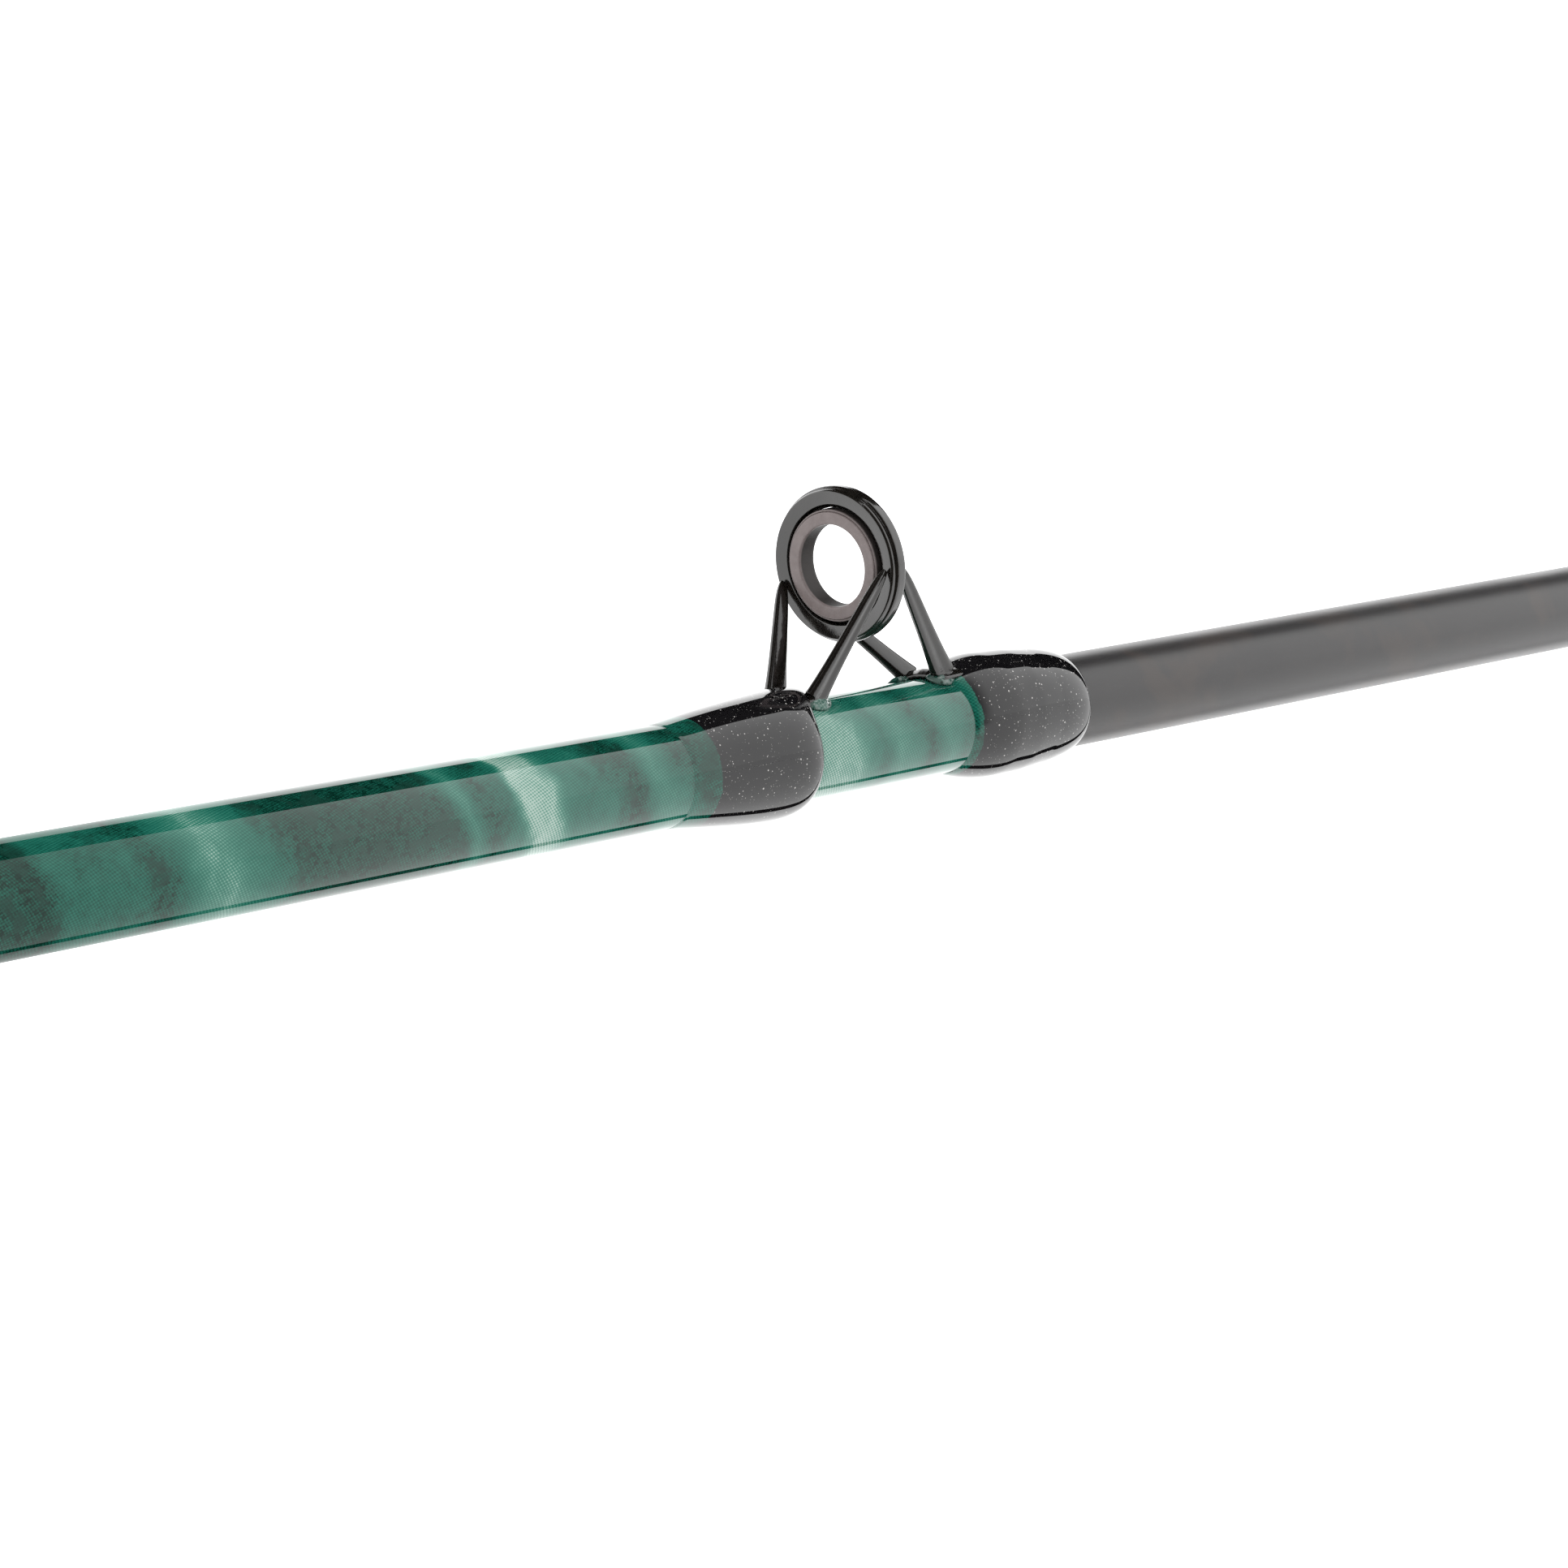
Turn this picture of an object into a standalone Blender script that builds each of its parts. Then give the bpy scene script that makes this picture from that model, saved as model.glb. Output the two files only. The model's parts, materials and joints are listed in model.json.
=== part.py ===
"""Heavy two-piece casting rod: handle with a screw-locking reel seat, blank, guides and tip-top.

Units are metres. The rod lies along +X, from the middle of the butt cap's end face at the
origin to the tip, and its guides and reel seat are on top (+Z).
"""

import math

import bmesh
import bpy
from mathutils import Matrix, Vector

# Overall sizes
ROD_LENGTH = 1.800
STRIPPER_X = 0.790  # front plane of the first guide's ring
TIP_SECTION_X = 1.095  # where the tip section's socket starts

# Clearances
GAP = 0.0002  # between a piece and what it is wound or glued on
THIN_GAP = 0.00005  # between the blank and the fabric sleeve
FACE_GAP = 0.0003  # between pieces that meet end to end
RUNNING = 0.00009  # radial, for the pieces that turn or slide on the seat
PIN_RUNNING = 0.00006  # radial, for the keeper's wire in its lug
SOCKET_CLEARANCE = 0.00008  # radial, between the blank and the tip section's socket
SLIVER = 0.00001  # points closer than this after a Boolean are merged

# Facets round the axis
SIDES = 24
SEAT_SIDES = 32
SMALL_SIDES = 16
WIRE_SIDES = 10

# Blank
BLANK_R = 0.00676  # under the stripper guide, where the blank is parallel
BLANK_TAPER = 0.0018  # metres of radius for each metre of length
BLANK_WALL = 0.0013
PARALLEL_BEHIND = 0.008
PARALLEL_AHEAD = 0.054
SOCKET_DEPTH = 0.070
SOCKET_WALL = 0.0010
SOCKET_SHOULDER = 0.012
TIP_START_R = BLANK_R - 0.00056
TIP_END_R = 0.0015
TIP_WALL = 0.0008
SLEEVE_WALL = 0.0001
SLEEVE_PAST_RING = 0.034

# Handle, from the butt forwards
CAP_LENGTH = 0.030
CAP_FLOOR = 0.0122
REAR_GRIP_LENGTH = 0.262
TRIM_LENGTH = 0.005
SEAT_LENGTH = 0.124
ARBOR_WALL = 0.00274  # from the blank's radius under the guide to the seat's bore
SEAT_WALL = 0.0020
SEAT_FLAT_DEPTH = 0.0010
SEAT_BORE_R = BLANK_R + ARBOR_WALL
SEAT_R = SEAT_BORE_R + SEAT_WALL
SEAT_FLAT_Z = SEAT_R - SEAT_FLAT_DEPTH
SEAT_EDGE = 0.0004
TRIM_R = SEAT_R + 0.0011
REAR_GRIP_R = SEAT_R + 0.0023
CAP_R = REAR_GRIP_R + 0.0017
ARBOR_LENGTH = 0.030
ARBOR_INSET = 0.008
FOREGRIP_LENGTH = 0.125
FOREGRIP_R = SEAT_R + 0.0017
GRIP_ROUND = 0.0022  # rounding of a grip's ends
CHECK_LENGTH = 0.008
CHECK_R = BLANK_R + 0.00304

# Reel seat fittings
NUT_OFFSET = 0.0036  # from the seat's rear end
NUT_LENGTH = 0.015
NUT_R = SEAT_R + 0.0026
NUT_GROOVE = 0.0005
NUT_EDGE = 0.0012
HOOD_LENGTH = 0.024
HOOD_RING_R = SEAT_R + 0.0019
DOME_Z = SEAT_R - 0.0030
DOME_R = SEAT_R - 0.0010
DOME_LIP = 0.0006  # the dome reaches this far past the ring's mouth
POCKET_R = SEAT_R - 0.0025
POCKET_DEPTH = 0.012
FIXED_HOOD_INSET = 0.0007

# Hook keeper, on the rod's underside
KEEPER_AHEAD = 0.0392  # from the winding check to the keeper's pivot
KEEPER_PLATE_LENGTH = 0.028
KEEPER_PLATE = 0.0007
KEEPER_PLATE_ANGLE = 0.30  # half of the plate's width, as an angle round the blank
KEEPER_PIVOT_RISE = 0.0026
KEEPER_WIRE_R = 0.0006
KEEPER_LOOP_LENGTH = 0.0095
KEEPER_LOOP_HALF_WIDTH = 0.0042
KEEPER_LUG_HALF_WIDTH = 0.0022
KEEPER_LUG_R = 0.0015
KEEPER_POST = (0.0030, 0.0022, 0.0038)  # length at the plate, length at the lug, width
KEEPER_WRAP_GAP = 0.0045  # from the pivot to each wrap
KEEPER_WRAP_PAST = 0.0015  # the wraps run this far past the plate's ends
KEEPER_CORNER = 0.0016

# Guides: a guide of another ring size is the size 16 frame scaled from the blank's surface
RING_SIZE = 0.016
STRIPPER_SIZE = 0.016
SECOND_SIZE = 0.012
SECOND_BEHIND = 0.075  # from the second guide to the tip section's socket
TIP_GUIDE_SIZE = 0.010
THIRD_AHEAD = 0.037362  # from the start of the taper, clear of the socket
TIP_GUIDES = (("fourth", 0.325), ("fifth", 0.560), ("sixth", 0.770))  # share of the taper
RING_RISE = 0.01745  # ring centre above the blank's surface
RING_LEAN = math.radians(-3.5)
RING_R = 0.0110
RING_WIDTH = 0.0029
INSERT_R = 0.0079
HOLE_R = 0.00572
INSERT_STAND = 0.0003  # the insert stands proud of both ring faces
LEG_TOP_Y = 0.0095
LEG_TOP_RISE = 0.0160
REAR_LEG_X = -0.0115
REAR_LEG_ANGLE = 0.49  # round the blank, from the top to the leg's base
FRONT_LEG_X = 0.0172
FRONT_LEG_ANGLE = 0.40
LEG_WIDTH = (0.0026, 0.0014)
LEG_THICKNESS = (0.0012, 0.0010)
REAR_LEG_TOP, FRONT_LEG_TOP = 0.35, 0.75  # where a leg meets the ring, as a share of its width
FOOT_THICKNESS = 0.0011
FOOT_CLEARANCE = 0.00005  # least room between a foot and its wrap
TOE_THICKNESS = 0.0004
TOE_ANGLE = 0.20  # half widths of the feet, as angles round the blank
REAR_HEEL_ANGLE = 0.62
FRONT_HEEL_ANGLE = 0.56
LEG_SINK = 0.55  # how deep in the foot a leg starts, as a share of its thickness
REAR_FOOT = (-0.0320, -0.0100)
FRONT_FOOT = (0.0155, 0.0400)
REAR_WRAP = (-0.0360, -0.0155)
FRONT_WRAP = (0.0205, 0.0440)
REAR_COAT = (-0.0415, -0.0140)
FRONT_COAT = (0.0190, 0.0455)
THREAD = 0.0005
KEEPER_THREAD = 0.0004
COAT_EDGE = 0.00015  # thickness of a coat at its ends
COAT = 0.0006
COAT_TOP = 0.0012
COAT_STEPS = 6

# Ferrule wraps
SOCKET_WRAP = 0.016
SOCKET_WRAP_INSET = 0.0015
STOP_WRAP = 0.012
STOP_WRAP_BACK = 0.018  # from the socket's mouth back to the start of the stop wrap

# Tip-top
TIP_RING_SIZE = 0.010
TIP_TUBE_LENGTH = 0.030
TIP_TUBE_WALL = 0.0005
TIP_TUBE_INSET = 0.0012  # from the tube's front end to the ring's front face
TIP_BRACE_BACK = 0.006  # from the tube's rear end to the braces
TIP_BRACE_ANGLE = 0.6
TIP_BRACE_WIDTH = (0.0016, 0.0011)
TIP_BRACE_THICKNESS = (0.0004, 0.0008)
TIP_WRAP = 0.012
TIP_BLANK_END = 0.010  # the blank stops this far short of the rod's end


def stack(*lengths):
    """(start, end) of pieces laid end to end from the butt, with a small gap between them."""
    spans = []
    x = 0.0
    for length in lengths:
        spans.append((x, x + length))
        x += length + FACE_GAP
    return spans


CAP, REAR_GRIP, REAR_TRIM, SEAT, FRONT_TRIM, FOREGRIP, CHECK = stack(
    CAP_LENGTH, REAR_GRIP_LENGTH, TRIM_LENGTH, SEAT_LENGTH, TRIM_LENGTH, FOREGRIP_LENGTH, CHECK_LENGTH
)
SLEEVE = (CHECK[1] + FACE_GAP, STRIPPER_X + SLEEVE_PAST_RING)
BUTT_BLANK = (CAP_FLOOR + FACE_GAP, TIP_SECTION_X + SOCKET_DEPTH)
NUT = (SEAT[0] + NUT_OFFSET, SEAT[0] + NUT_OFFSET + NUT_LENGTH)
HOOD = (NUT[1] + FACE_GAP, NUT[1] + FACE_GAP + HOOD_LENGTH)
FIXED_HOOD = (SEAT[1] - FIXED_HOOD_INSET - HOOD_LENGTH, SEAT[1] - FIXED_HOOD_INSET)
KEEPER_X = CHECK[1] + KEEPER_AHEAD


def butt_radius(x):
    """Outside radius of the butt section's blank."""
    behind = max(0.0, STRIPPER_X - PARALLEL_BEHIND - x)
    ahead = max(0.0, x - STRIPPER_X - PARALLEL_AHEAD)
    return BLANK_R + BLANK_TAPER * (behind - ahead)


SOCKET_R = butt_radius(TIP_SECTION_X) + SOCKET_CLEARANCE + SOCKET_WALL
SOCKET_END = BUTT_BLANK[1] + FACE_GAP
TAPER_START = SOCKET_END + SOCKET_SHOULDER
TIP_END = ROD_LENGTH - TIP_BLANK_END
GUIDES = [("stripper", STRIPPER_X, STRIPPER_SIZE), ("second", TIP_SECTION_X - SECOND_BEHIND, SECOND_SIZE)]
GUIDES += [("third", TAPER_START + THIRD_AHEAD, TIP_GUIDE_SIZE)]
GUIDES += [
    (name, TAPER_START + share * (ROD_LENGTH - TAPER_START), TIP_GUIDE_SIZE) for name, share in TIP_GUIDES
]
SHARP = math.radians(35)  # an edge sharper than this is shaded as an edge


def tip_radius(x):
    """Outside radius of the tip section's blank: its socket, then one straight taper."""
    if x < SOCKET_END:
        return SOCKET_R
    share = (x - TAPER_START) / (TIP_END - TAPER_START)
    return TIP_START_R + (TIP_END_R - TIP_START_R) * max(0.0, share)


def surface_radius(x):
    """Radius of the surface that a guide or a wrap sits on."""
    if SLEEVE[0] <= x <= SLEEVE[1]:
        return butt_radius(x) + THIN_GAP + SLEEVE_WALL
    return butt_radius(x) if x < TIP_SECTION_X else tip_radius(x)


def material(name, colour, roughness, metallic=0.0):
    """A Principled material, made once for each name."""
    if name in bpy.data.materials:
        return bpy.data.materials[name]
    made = bpy.data.materials.new(name)
    made.use_nodes = True
    shader = made.node_tree.nodes["Principled BSDF"]
    shader.inputs["Base Color"].default_value = (*colour, 1.0)
    shader.inputs["Roughness"].default_value = roughness
    shader.inputs["Metallic"].default_value = metallic
    made.diffuse_color = (*colour, 1.0)
    return made


def composite():
    return material("charcoal_composite", (0.070, 0.066, 0.066), 0.62)


def fabric():
    return material("green_marbled_fabric", (0.09, 0.30, 0.22), 0.18)


def thread():
    return material("black_winding_thread", (0.030, 0.030, 0.032), 0.30)


def clear_coat():
    return material("clear_epoxy", (0.62, 0.64, 0.66), 0.05)


def black_metal():
    return material("black_coated_steel", (0.020, 0.021, 0.022), 0.16, 0.6)


def ceramic():
    return material("taupe_ceramic", (0.22, 0.19, 0.18), 0.28)


def foam():
    return material("black_grip_foam", (0.045, 0.046, 0.048), 0.85)


def rubber():
    return material("black_rubber", (0.030, 0.030, 0.031), 0.70)


def seat_resin():
    return material("graphite_seat_resin", (0.055, 0.056, 0.058), 0.38)


def steel():
    return material("stainless_steel", (0.56, 0.57, 0.58), 0.24, 1.0)


def anodised():
    return material("green_anodised_aluminium", (0.05, 0.22, 0.17), 0.30, 1.0)


def arbor_foam():
    return material("arbor_foam", (0.42, 0.36, 0.27), 0.90)


def frame_empty(name, location, parent=None, turn=0.0):
    """An empty that pieces hang on. A joint's empty lies on the joint's axis."""
    empty = bpy.data.objects.new(name, None)
    empty.empty_display_size = 0.02
    empty.location = location
    empty.rotation_euler = (turn, 0.0, 0.0)
    empty.parent = parent
    bpy.context.scene.collection.objects.link(empty)
    return empty


def finish_mesh(name, mesh_edit, surface, location, parent):
    """Turns a bmesh into an object with outward faces, smooth shading and its material."""
    bmesh.ops.remove_doubles(mesh_edit, verts=mesh_edit.verts, dist=1e-7)
    bmesh.ops.recalc_face_normals(mesh_edit, faces=mesh_edit.faces)
    mesh = bpy.data.meshes.new(name)
    mesh_edit.to_mesh(mesh)
    mesh_edit.free()
    mesh.materials.append(surface)
    mesh.shade_smooth()
    mesh.set_sharp_from_angle(angle=SHARP)
    piece = bpy.data.objects.new(name, mesh)
    piece.location = location
    piece.parent = parent
    bpy.context.scene.collection.objects.link(piece)
    return piece


def turned(name, profile, surface, location=(0, 0, 0), parent=None, sides=SIDES):
    """Spins a profile of (x, radius) points about X. A profile that starts and ends on the axis
    makes a solid, and any other one is closed into a ring."""
    shape = bmesh.new()
    points = [shape.verts.new((x, 0.0, radius)) for x, radius in profile]
    pairs = list(zip(points, points[1:]))
    if profile[0][1] > 0 or profile[-1][1] > 0:
        pairs.append((points[-1], points[0]))
    edges = [shape.edges.new(pair) for pair in pairs]
    bmesh.ops.spin(
        shape,
        geom=points + edges,
        cent=(0, 0, 0),
        axis=(1, 0, 0),
        angle=math.tau,
        steps=sides,
        use_merge=True,
    )
    return finish_mesh(name, shape, surface, location, parent)


def lofted(name, stations, outer, inner, surface, location=(0, 0, 0), parent=None, sides=SIDES):
    """Tube along X whose outer and inner radii depend on x and on the angle from the top."""
    shape = bmesh.new()
    angles = [math.tau * i / sides for i in range(sides)]

    def loop(x, radius):
        return [
            shape.verts.new((x, radius(x, a) * math.sin(a), radius(x, a) * math.cos(a))) for a in angles
        ]

    loops = [loop(x, outer) for x in stations] + [loop(x, inner) for x in reversed(stations)]
    for one, other in zip(loops, loops[1:] + loops[:1]):
        for i in range(sides):
            j = (i + 1) % sides
            shape.faces.new((one[i], one[j], other[j], other[i]))
    return finish_mesh(name, shape, surface, location, parent)


def bar(name, base, top, widths, thicknesses, surface, parent):
    """Tapered flat bar between two points, its width lying nearly along the rod."""
    base, top = Vector(base), Vector(top)
    along = (top - base).normalized()
    wide = (Vector((1, 0, 0)) - along * along.x).normalized()
    thick = along.cross(wide)
    shape = bmesh.new()
    rings = []
    for centre, width, thickness in zip((base, top), widths, thicknesses):
        corners = ((-1, -1), (1, -1), (1, 1), (-1, 1))
        rings.append(
            [
                shape.verts.new(centre + wide * (a * width / 2) + thick * (b * thickness / 2))
                for a, b in corners
            ]
        )
    shape.faces.new(rings[0])
    shape.faces.new(list(reversed(rings[1])))
    for i in range(4):
        j = (i + 1) % 4
        shape.faces.new((rings[0][i], rings[1][i], rings[1][j], rings[0][j]))
    return finish_mesh(name, shape, surface, (0, 0, 0), parent)


def foot_plate(name, span, radius, thickness, half_angle, surface, parent):
    """Plate curved round the rod's top. Thickness and half angle go from start to end of the span."""
    steps, across = 3, 4  # faces along the plate and across it
    shape = bmesh.new()
    grid = []
    for i in range(steps + 1):
        share = i / steps
        x = span[0] + (span[1] - span[0]) * share
        thick = thickness[0] + (thickness[1] - thickness[0]) * share
        half = half_angle[0] + (half_angle[1] - half_angle[0]) * share
        rows = []
        for r in (radius, radius + thick):
            angles = [half * (2 * j / across - 1) for j in range(across + 1)]
            rows.append([shape.verts.new((x, r * math.sin(a), r * math.cos(a))) for a in angles])
        grid.append(rows[0] + list(reversed(rows[1])))
    for one, other in zip(grid, grid[1:]):
        for i in range(len(one)):
            j = (i + 1) % len(one)
            shape.faces.new((one[i], one[j], other[j], other[i]))
    for end in (grid[0], grid[-1]):
        for j in range(across):
            shape.faces.new((end[j], end[j + 1], end[-2 - j], end[-1 - j]))
    return finish_mesh(name, shape, surface, (0, 0, 0), parent)


def combine(piece, others, operation):
    """Applies exact Booleans to the piece, and removes the shapes that they used."""
    for other in others:
        step = piece.modifiers.new(operation.lower(), "BOOLEAN")
        step.operation = operation
        step.solver = "EXACT"
        step.object = other
    graph = bpy.context.evaluated_depsgraph_get()
    result = bpy.data.meshes.new_from_object(piece.evaluated_get(graph))
    tidy = bmesh.new()
    tidy.from_mesh(result)
    bmesh.ops.remove_doubles(tidy, verts=tidy.verts, dist=SLIVER)
    bmesh.ops.dissolve_degenerate(tidy, edges=tidy.edges, dist=SLIVER)
    tidy.to_mesh(result)
    tidy.free()
    piece.modifiers.clear()
    old = piece.data
    result.name = old.name
    piece.data = result
    bpy.data.meshes.remove(old)
    for other in others:
        bpy.data.objects.remove(other)
    result.shade_smooth()
    result.set_sharp_from_angle(angle=SHARP)
    return piece


def plain_ring(width, outer, inner):
    """Closed ring profile with its front face at x = 0 and square corners."""
    return [(0, outer), (width, outer), (width, inner), (0, inner)]


def rounded_ring(width, outer, inner, edge):
    """Closed ring profile with its front face at x = 0 and all its corners cut by edge."""
    return [
        (0, outer - edge),
        (edge, outer),
        (width - edge, outer),
        (width, outer - edge),
        (width, inner + edge),
        (width - edge, inner),
        (edge, inner),
        (0, inner + edge),
    ]


def ring_and_insert(name, scale, centre, lean, parent):
    """Metal ring and its ceramic insert, with the front face's centre at the given point."""
    place = Matrix.Translation(centre) @ Matrix.Rotation(lean, 4, "Y")
    width, outer, inner = RING_WIDTH * scale, RING_R * scale, INSERT_R * scale
    edge, stand = width / 4, INSERT_STAND * scale
    sides = sides_for(scale)
    metal = [(0, outer - edge), (edge, outer), (width - edge, outer), (width, outer - edge)]
    metal += [(width, inner + GAP / 2), (0, inner + GAP / 2)]
    ring = turned(f"{name}_frame", metal, black_metal(), parent=parent, sides=sides)
    hole = HOLE_R * scale
    smooth = [(-stand, inner), (width + stand, inner), (width + stand, hole + edge)]
    smooth += [(width - edge, hole), (edge, hole), (-stand, hole + edge)]
    insert = turned(f"{name}_insert", smooth, ceramic(), parent=parent, sides=sides)
    for piece in (ring, insert):
        piece.data.transform(place)
    return ring


def sides_for(scale):
    """Facets round a guide's pieces: the stripper guide is finer than the smaller ones."""
    return SIDES if scale == 1 else SMALL_SIDES


def foot_channel(angle, radius, cover, scale):
    """Bore radius that clears the blank and, over the top, the guide's foot, whose room is cover."""
    off_top = min(angle, math.tau - angle)
    over_foot = off_top <= REAR_HEEL_ANGLE + math.tau / sides_for(scale)
    return radius + GAP + (cover if over_foot else 0.0)


def foot_top(x, scale, foot):
    """Radius of a foot's top. The plate is thicker where the blank tapers more under it."""
    reach = [surface_radius(x + value * scale) for value in foot]
    return max(reach) + GAP + FOOT_THICKNESS * scale + max(reach) - min(reach)


def bulge(x, span):
    """Barrel shape: 0 at both ends of the span and 1 in the middle, steep at the ends."""
    share = 2 * (x - span[0]) / (span[1] - span[0]) - 1
    return math.sqrt(max(0.0, 1 - share**4))


def guide(name, x, size, parent):
    """Double-foot guide: frame, insert, two thread wraps, and coats over the stripper's wraps."""
    scale = size / RING_SIZE
    here = frame_empty(f"{name}_guide_seat", (x, 0, 0), parent)
    rise = surface_radius(x)
    frame = ring_and_insert(f"{name}_guide", scale, (0, 0, rise + RING_RISE * scale), RING_LEAN, here)
    top_z = rise + LEG_TOP_RISE * scale
    ends = (
        ("rear", REAR_FOOT, REAR_LEG_X, REAR_LEG_ANGLE, RING_WIDTH * REAR_LEG_TOP),
        ("front", FRONT_FOOT, FRONT_LEG_X, FRONT_LEG_ANGLE, RING_WIDTH * FRONT_LEG_TOP),
    )
    parts = []
    for end, span, base_x, base_angle, top_x in ends:
        span = [value * scale for value in span]
        lowest = min(surface_radius(x + value) for value in span)
        highest = max(surface_radius(x + value) for value in span)
        radius = highest + GAP
        thin, wide = (TOE_THICKNESS, FOOT_THICKNESS), (TOE_ANGLE, REAR_HEEL_ANGLE)
        if end == "front":
            thin, wide = thin[::-1], (FRONT_HEEL_ANGLE, TOE_ANGLE)
        thickness = [value * scale + highest - lowest for value in thin]
        parts.append(foot_plate(f"{name}_{end}_foot", span, radius, thickness, wide, black_metal(), here))
        for side in (-1, 1):
            top = Vector((top_x * scale, side * LEG_TOP_Y * scale, top_z))
            middle = radius + FOOT_THICKNESS * scale * LEG_SINK
            across, up = side * middle * math.sin(base_angle), middle * math.cos(base_angle)
            base = Vector((base_x * scale, across, up))
            parts.append(
                bar(
                    f"{name}_{end}_leg_{side}",
                    base,
                    top,
                    [value * scale for value in LEG_WIDTH],
                    [value * scale for value in LEG_THICKNESS],
                    black_metal(),
                    here,
                )
            )
    combine(frame, parts, "UNION")
    rear, front = ("rear", REAR_FOOT, REAR_WRAP, REAR_COAT), ("front", FRONT_FOOT, FRONT_WRAP, FRONT_COAT)
    for end, foot, wrap, coat in (rear, front):
        wind(name, end, x, scale, foot, wrap, coat, here)


def wind(name, end, x, scale, foot, wrap, coat, parent):
    """Thread wrap over a guide's foot. The stripper guide also gets its thick clear coat."""
    span = [value * scale for value in wrap]
    radius = max(surface_radius(x + value) for value in span)
    above_foot = foot_top(x, scale, foot) + FOOT_CLEARANCE - radius - GAP
    cover = max(FOOT_THICKNESS * scale + GAP, above_foot)

    def top_share(angle, power):
        """1 at the top of the rod, running down smoothly to 0 at the bottom."""
        return ((1 + math.cos(angle)) / 2) ** power

    def inner(_, angle):
        return foot_channel(angle, radius, cover, scale)

    def thread_outer(_, angle):
        over_foot = radius + GAP + THREAD + (cover - THREAD) * top_share(angle, 1.5)
        return max(over_foot, foot_channel(angle, radius, cover, scale) + THREAD * 0.8)

    sides = sides_for(scale)
    lofted(f"{name}_guide_{end}_wrap", span, thread_outer, inner, thread(), parent=parent, sides=sides)
    if name != "stripper":
        return
    first, last = (value * scale for value in coat)
    stations = [first + (last - first) * i / COAT_STEPS for i in range(COAT_STEPS + 1)]

    def coat_inner(x_local, angle):
        return thread_outer(x_local, angle) + GAP / 2

    def coat_outer(x_local, angle):
        swell = (COAT + COAT_TOP * top_share(angle, 2)) * bulge(x_local, (first, last))
        return coat_inner(x_local, angle) + COAT_EDGE + swell

    lofted(f"{name}_guide_{end}_coat", stations, coat_outer, coat_inner, clear_coat(), parent=parent)


def blanks(tip_section):
    """Butt section and tip section. The tip section's socket slides over the butt section's end."""
    stations = (BUTT_BLANK[0], STRIPPER_X - PARALLEL_BEHIND, STRIPPER_X + PARALLEL_AHEAD, BUTT_BLANK[1])
    outside = [(x, butt_radius(x)) for x in stations]
    bore = [(x, butt_radius(x) - BLANK_WALL) for x in reversed(BUTT_BLANK)]
    turned("butt_section_blank", outside + bore, composite())
    mouth = butt_radius(TIP_SECTION_X) + SOCKET_CLEARANCE
    floor = butt_radius(BUTT_BLANK[1]) + SOCKET_CLEARANCE
    world = [
        (TIP_SECTION_X, SOCKET_R),
        (SOCKET_END, SOCKET_R),
        (TAPER_START, TIP_START_R),
        (TIP_END, TIP_END_R),
        (TIP_END, TIP_END_R - TIP_WALL),
        (TAPER_START, TIP_START_R - BLANK_WALL),
        (SOCKET_END, TIP_START_R - BLANK_WALL),
        (SOCKET_END, floor),
        (TIP_SECTION_X, mouth),
    ]
    turned("tip_section_blank", [(x - TIP_SECTION_X, r) for x, r in world], composite(), parent=tip_section)


def sleeve():
    """Patterned fabric laid round the blank from the foregrip to under the stripper's front wrap."""

    def inner(x):
        return butt_radius(x) + THIN_GAP

    stations = (SLEEVE[0], STRIPPER_X - PARALLEL_BEHIND, SLEEVE[1])
    turned(
        "fabric_sleeve",
        [(x, inner(x) + SLEEVE_WALL) for x in stations] + [(x, inner(x)) for x in reversed(stations)],
        fabric(),
    )


def handle():
    """Butt cap, grips, trim rings, arbors and winding check."""
    bore = butt_radius(0.0) + GAP
    turned(
        "butt_cap",
        [
            (0, 0),
            (0, CAP_R - 0.0030),
            (0.0015, CAP_R - 0.0008),
            (0.005, CAP_R),
            (CAP[1] - 0.003, CAP_R),
            (CAP[1], CAP_R - 0.0012),
            (CAP[1], bore),
            (CAP_FLOOR, bore),
            (CAP_FLOOR, 0),
        ],
        rubber(),
    )
    grip_piece("rear_grip", REAR_GRIP, REAR_GRIP_R, ((0, -0.0004), (0.35, 0), (0.8, -0.0012), (1, -0.0016)))
    grip_piece("foregrip", FOREGRIP, FOREGRIP_R, ((0, -0.0010), (0.3, 0), (0.75, -0.0018), (1, -0.0034)))
    for name, span in (("rear_trim_ring", REAR_TRIM), ("front_trim_ring", FRONT_TRIM)):
        bore = butt_radius(span[0]) + GAP
        profile = plain_ring(span[1] - span[0], TRIM_R, bore)
        turned(name, profile, anodised(), (span[0], 0, 0))
    for name, start in (
        ("rear_seat_arbor", SEAT[0] + ARBOR_INSET),
        ("front_seat_arbor", SEAT[1] - ARBOR_INSET - ARBOR_LENGTH),
    ):
        bore = butt_radius(start) + GAP
        profile = plain_ring(ARBOR_LENGTH, SEAT_BORE_R - GAP, bore)
        turned(name, profile, arbor_foam(), (start, 0, 0), sides=SEAT_SIDES)
    bore = butt_radius(CHECK[0]) + GAP
    turned(
        "winding_check",
        [
            (0, CHECK_R - 0.0004),
            (0.0006, CHECK_R),
            (0.0028, CHECK_R),
            (CHECK_LENGTH, bore + 0.0008),
            (CHECK_LENGTH, bore),
            (0, bore),
        ],
        anodised(),
        (CHECK[0], 0, 0),
    )


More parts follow.
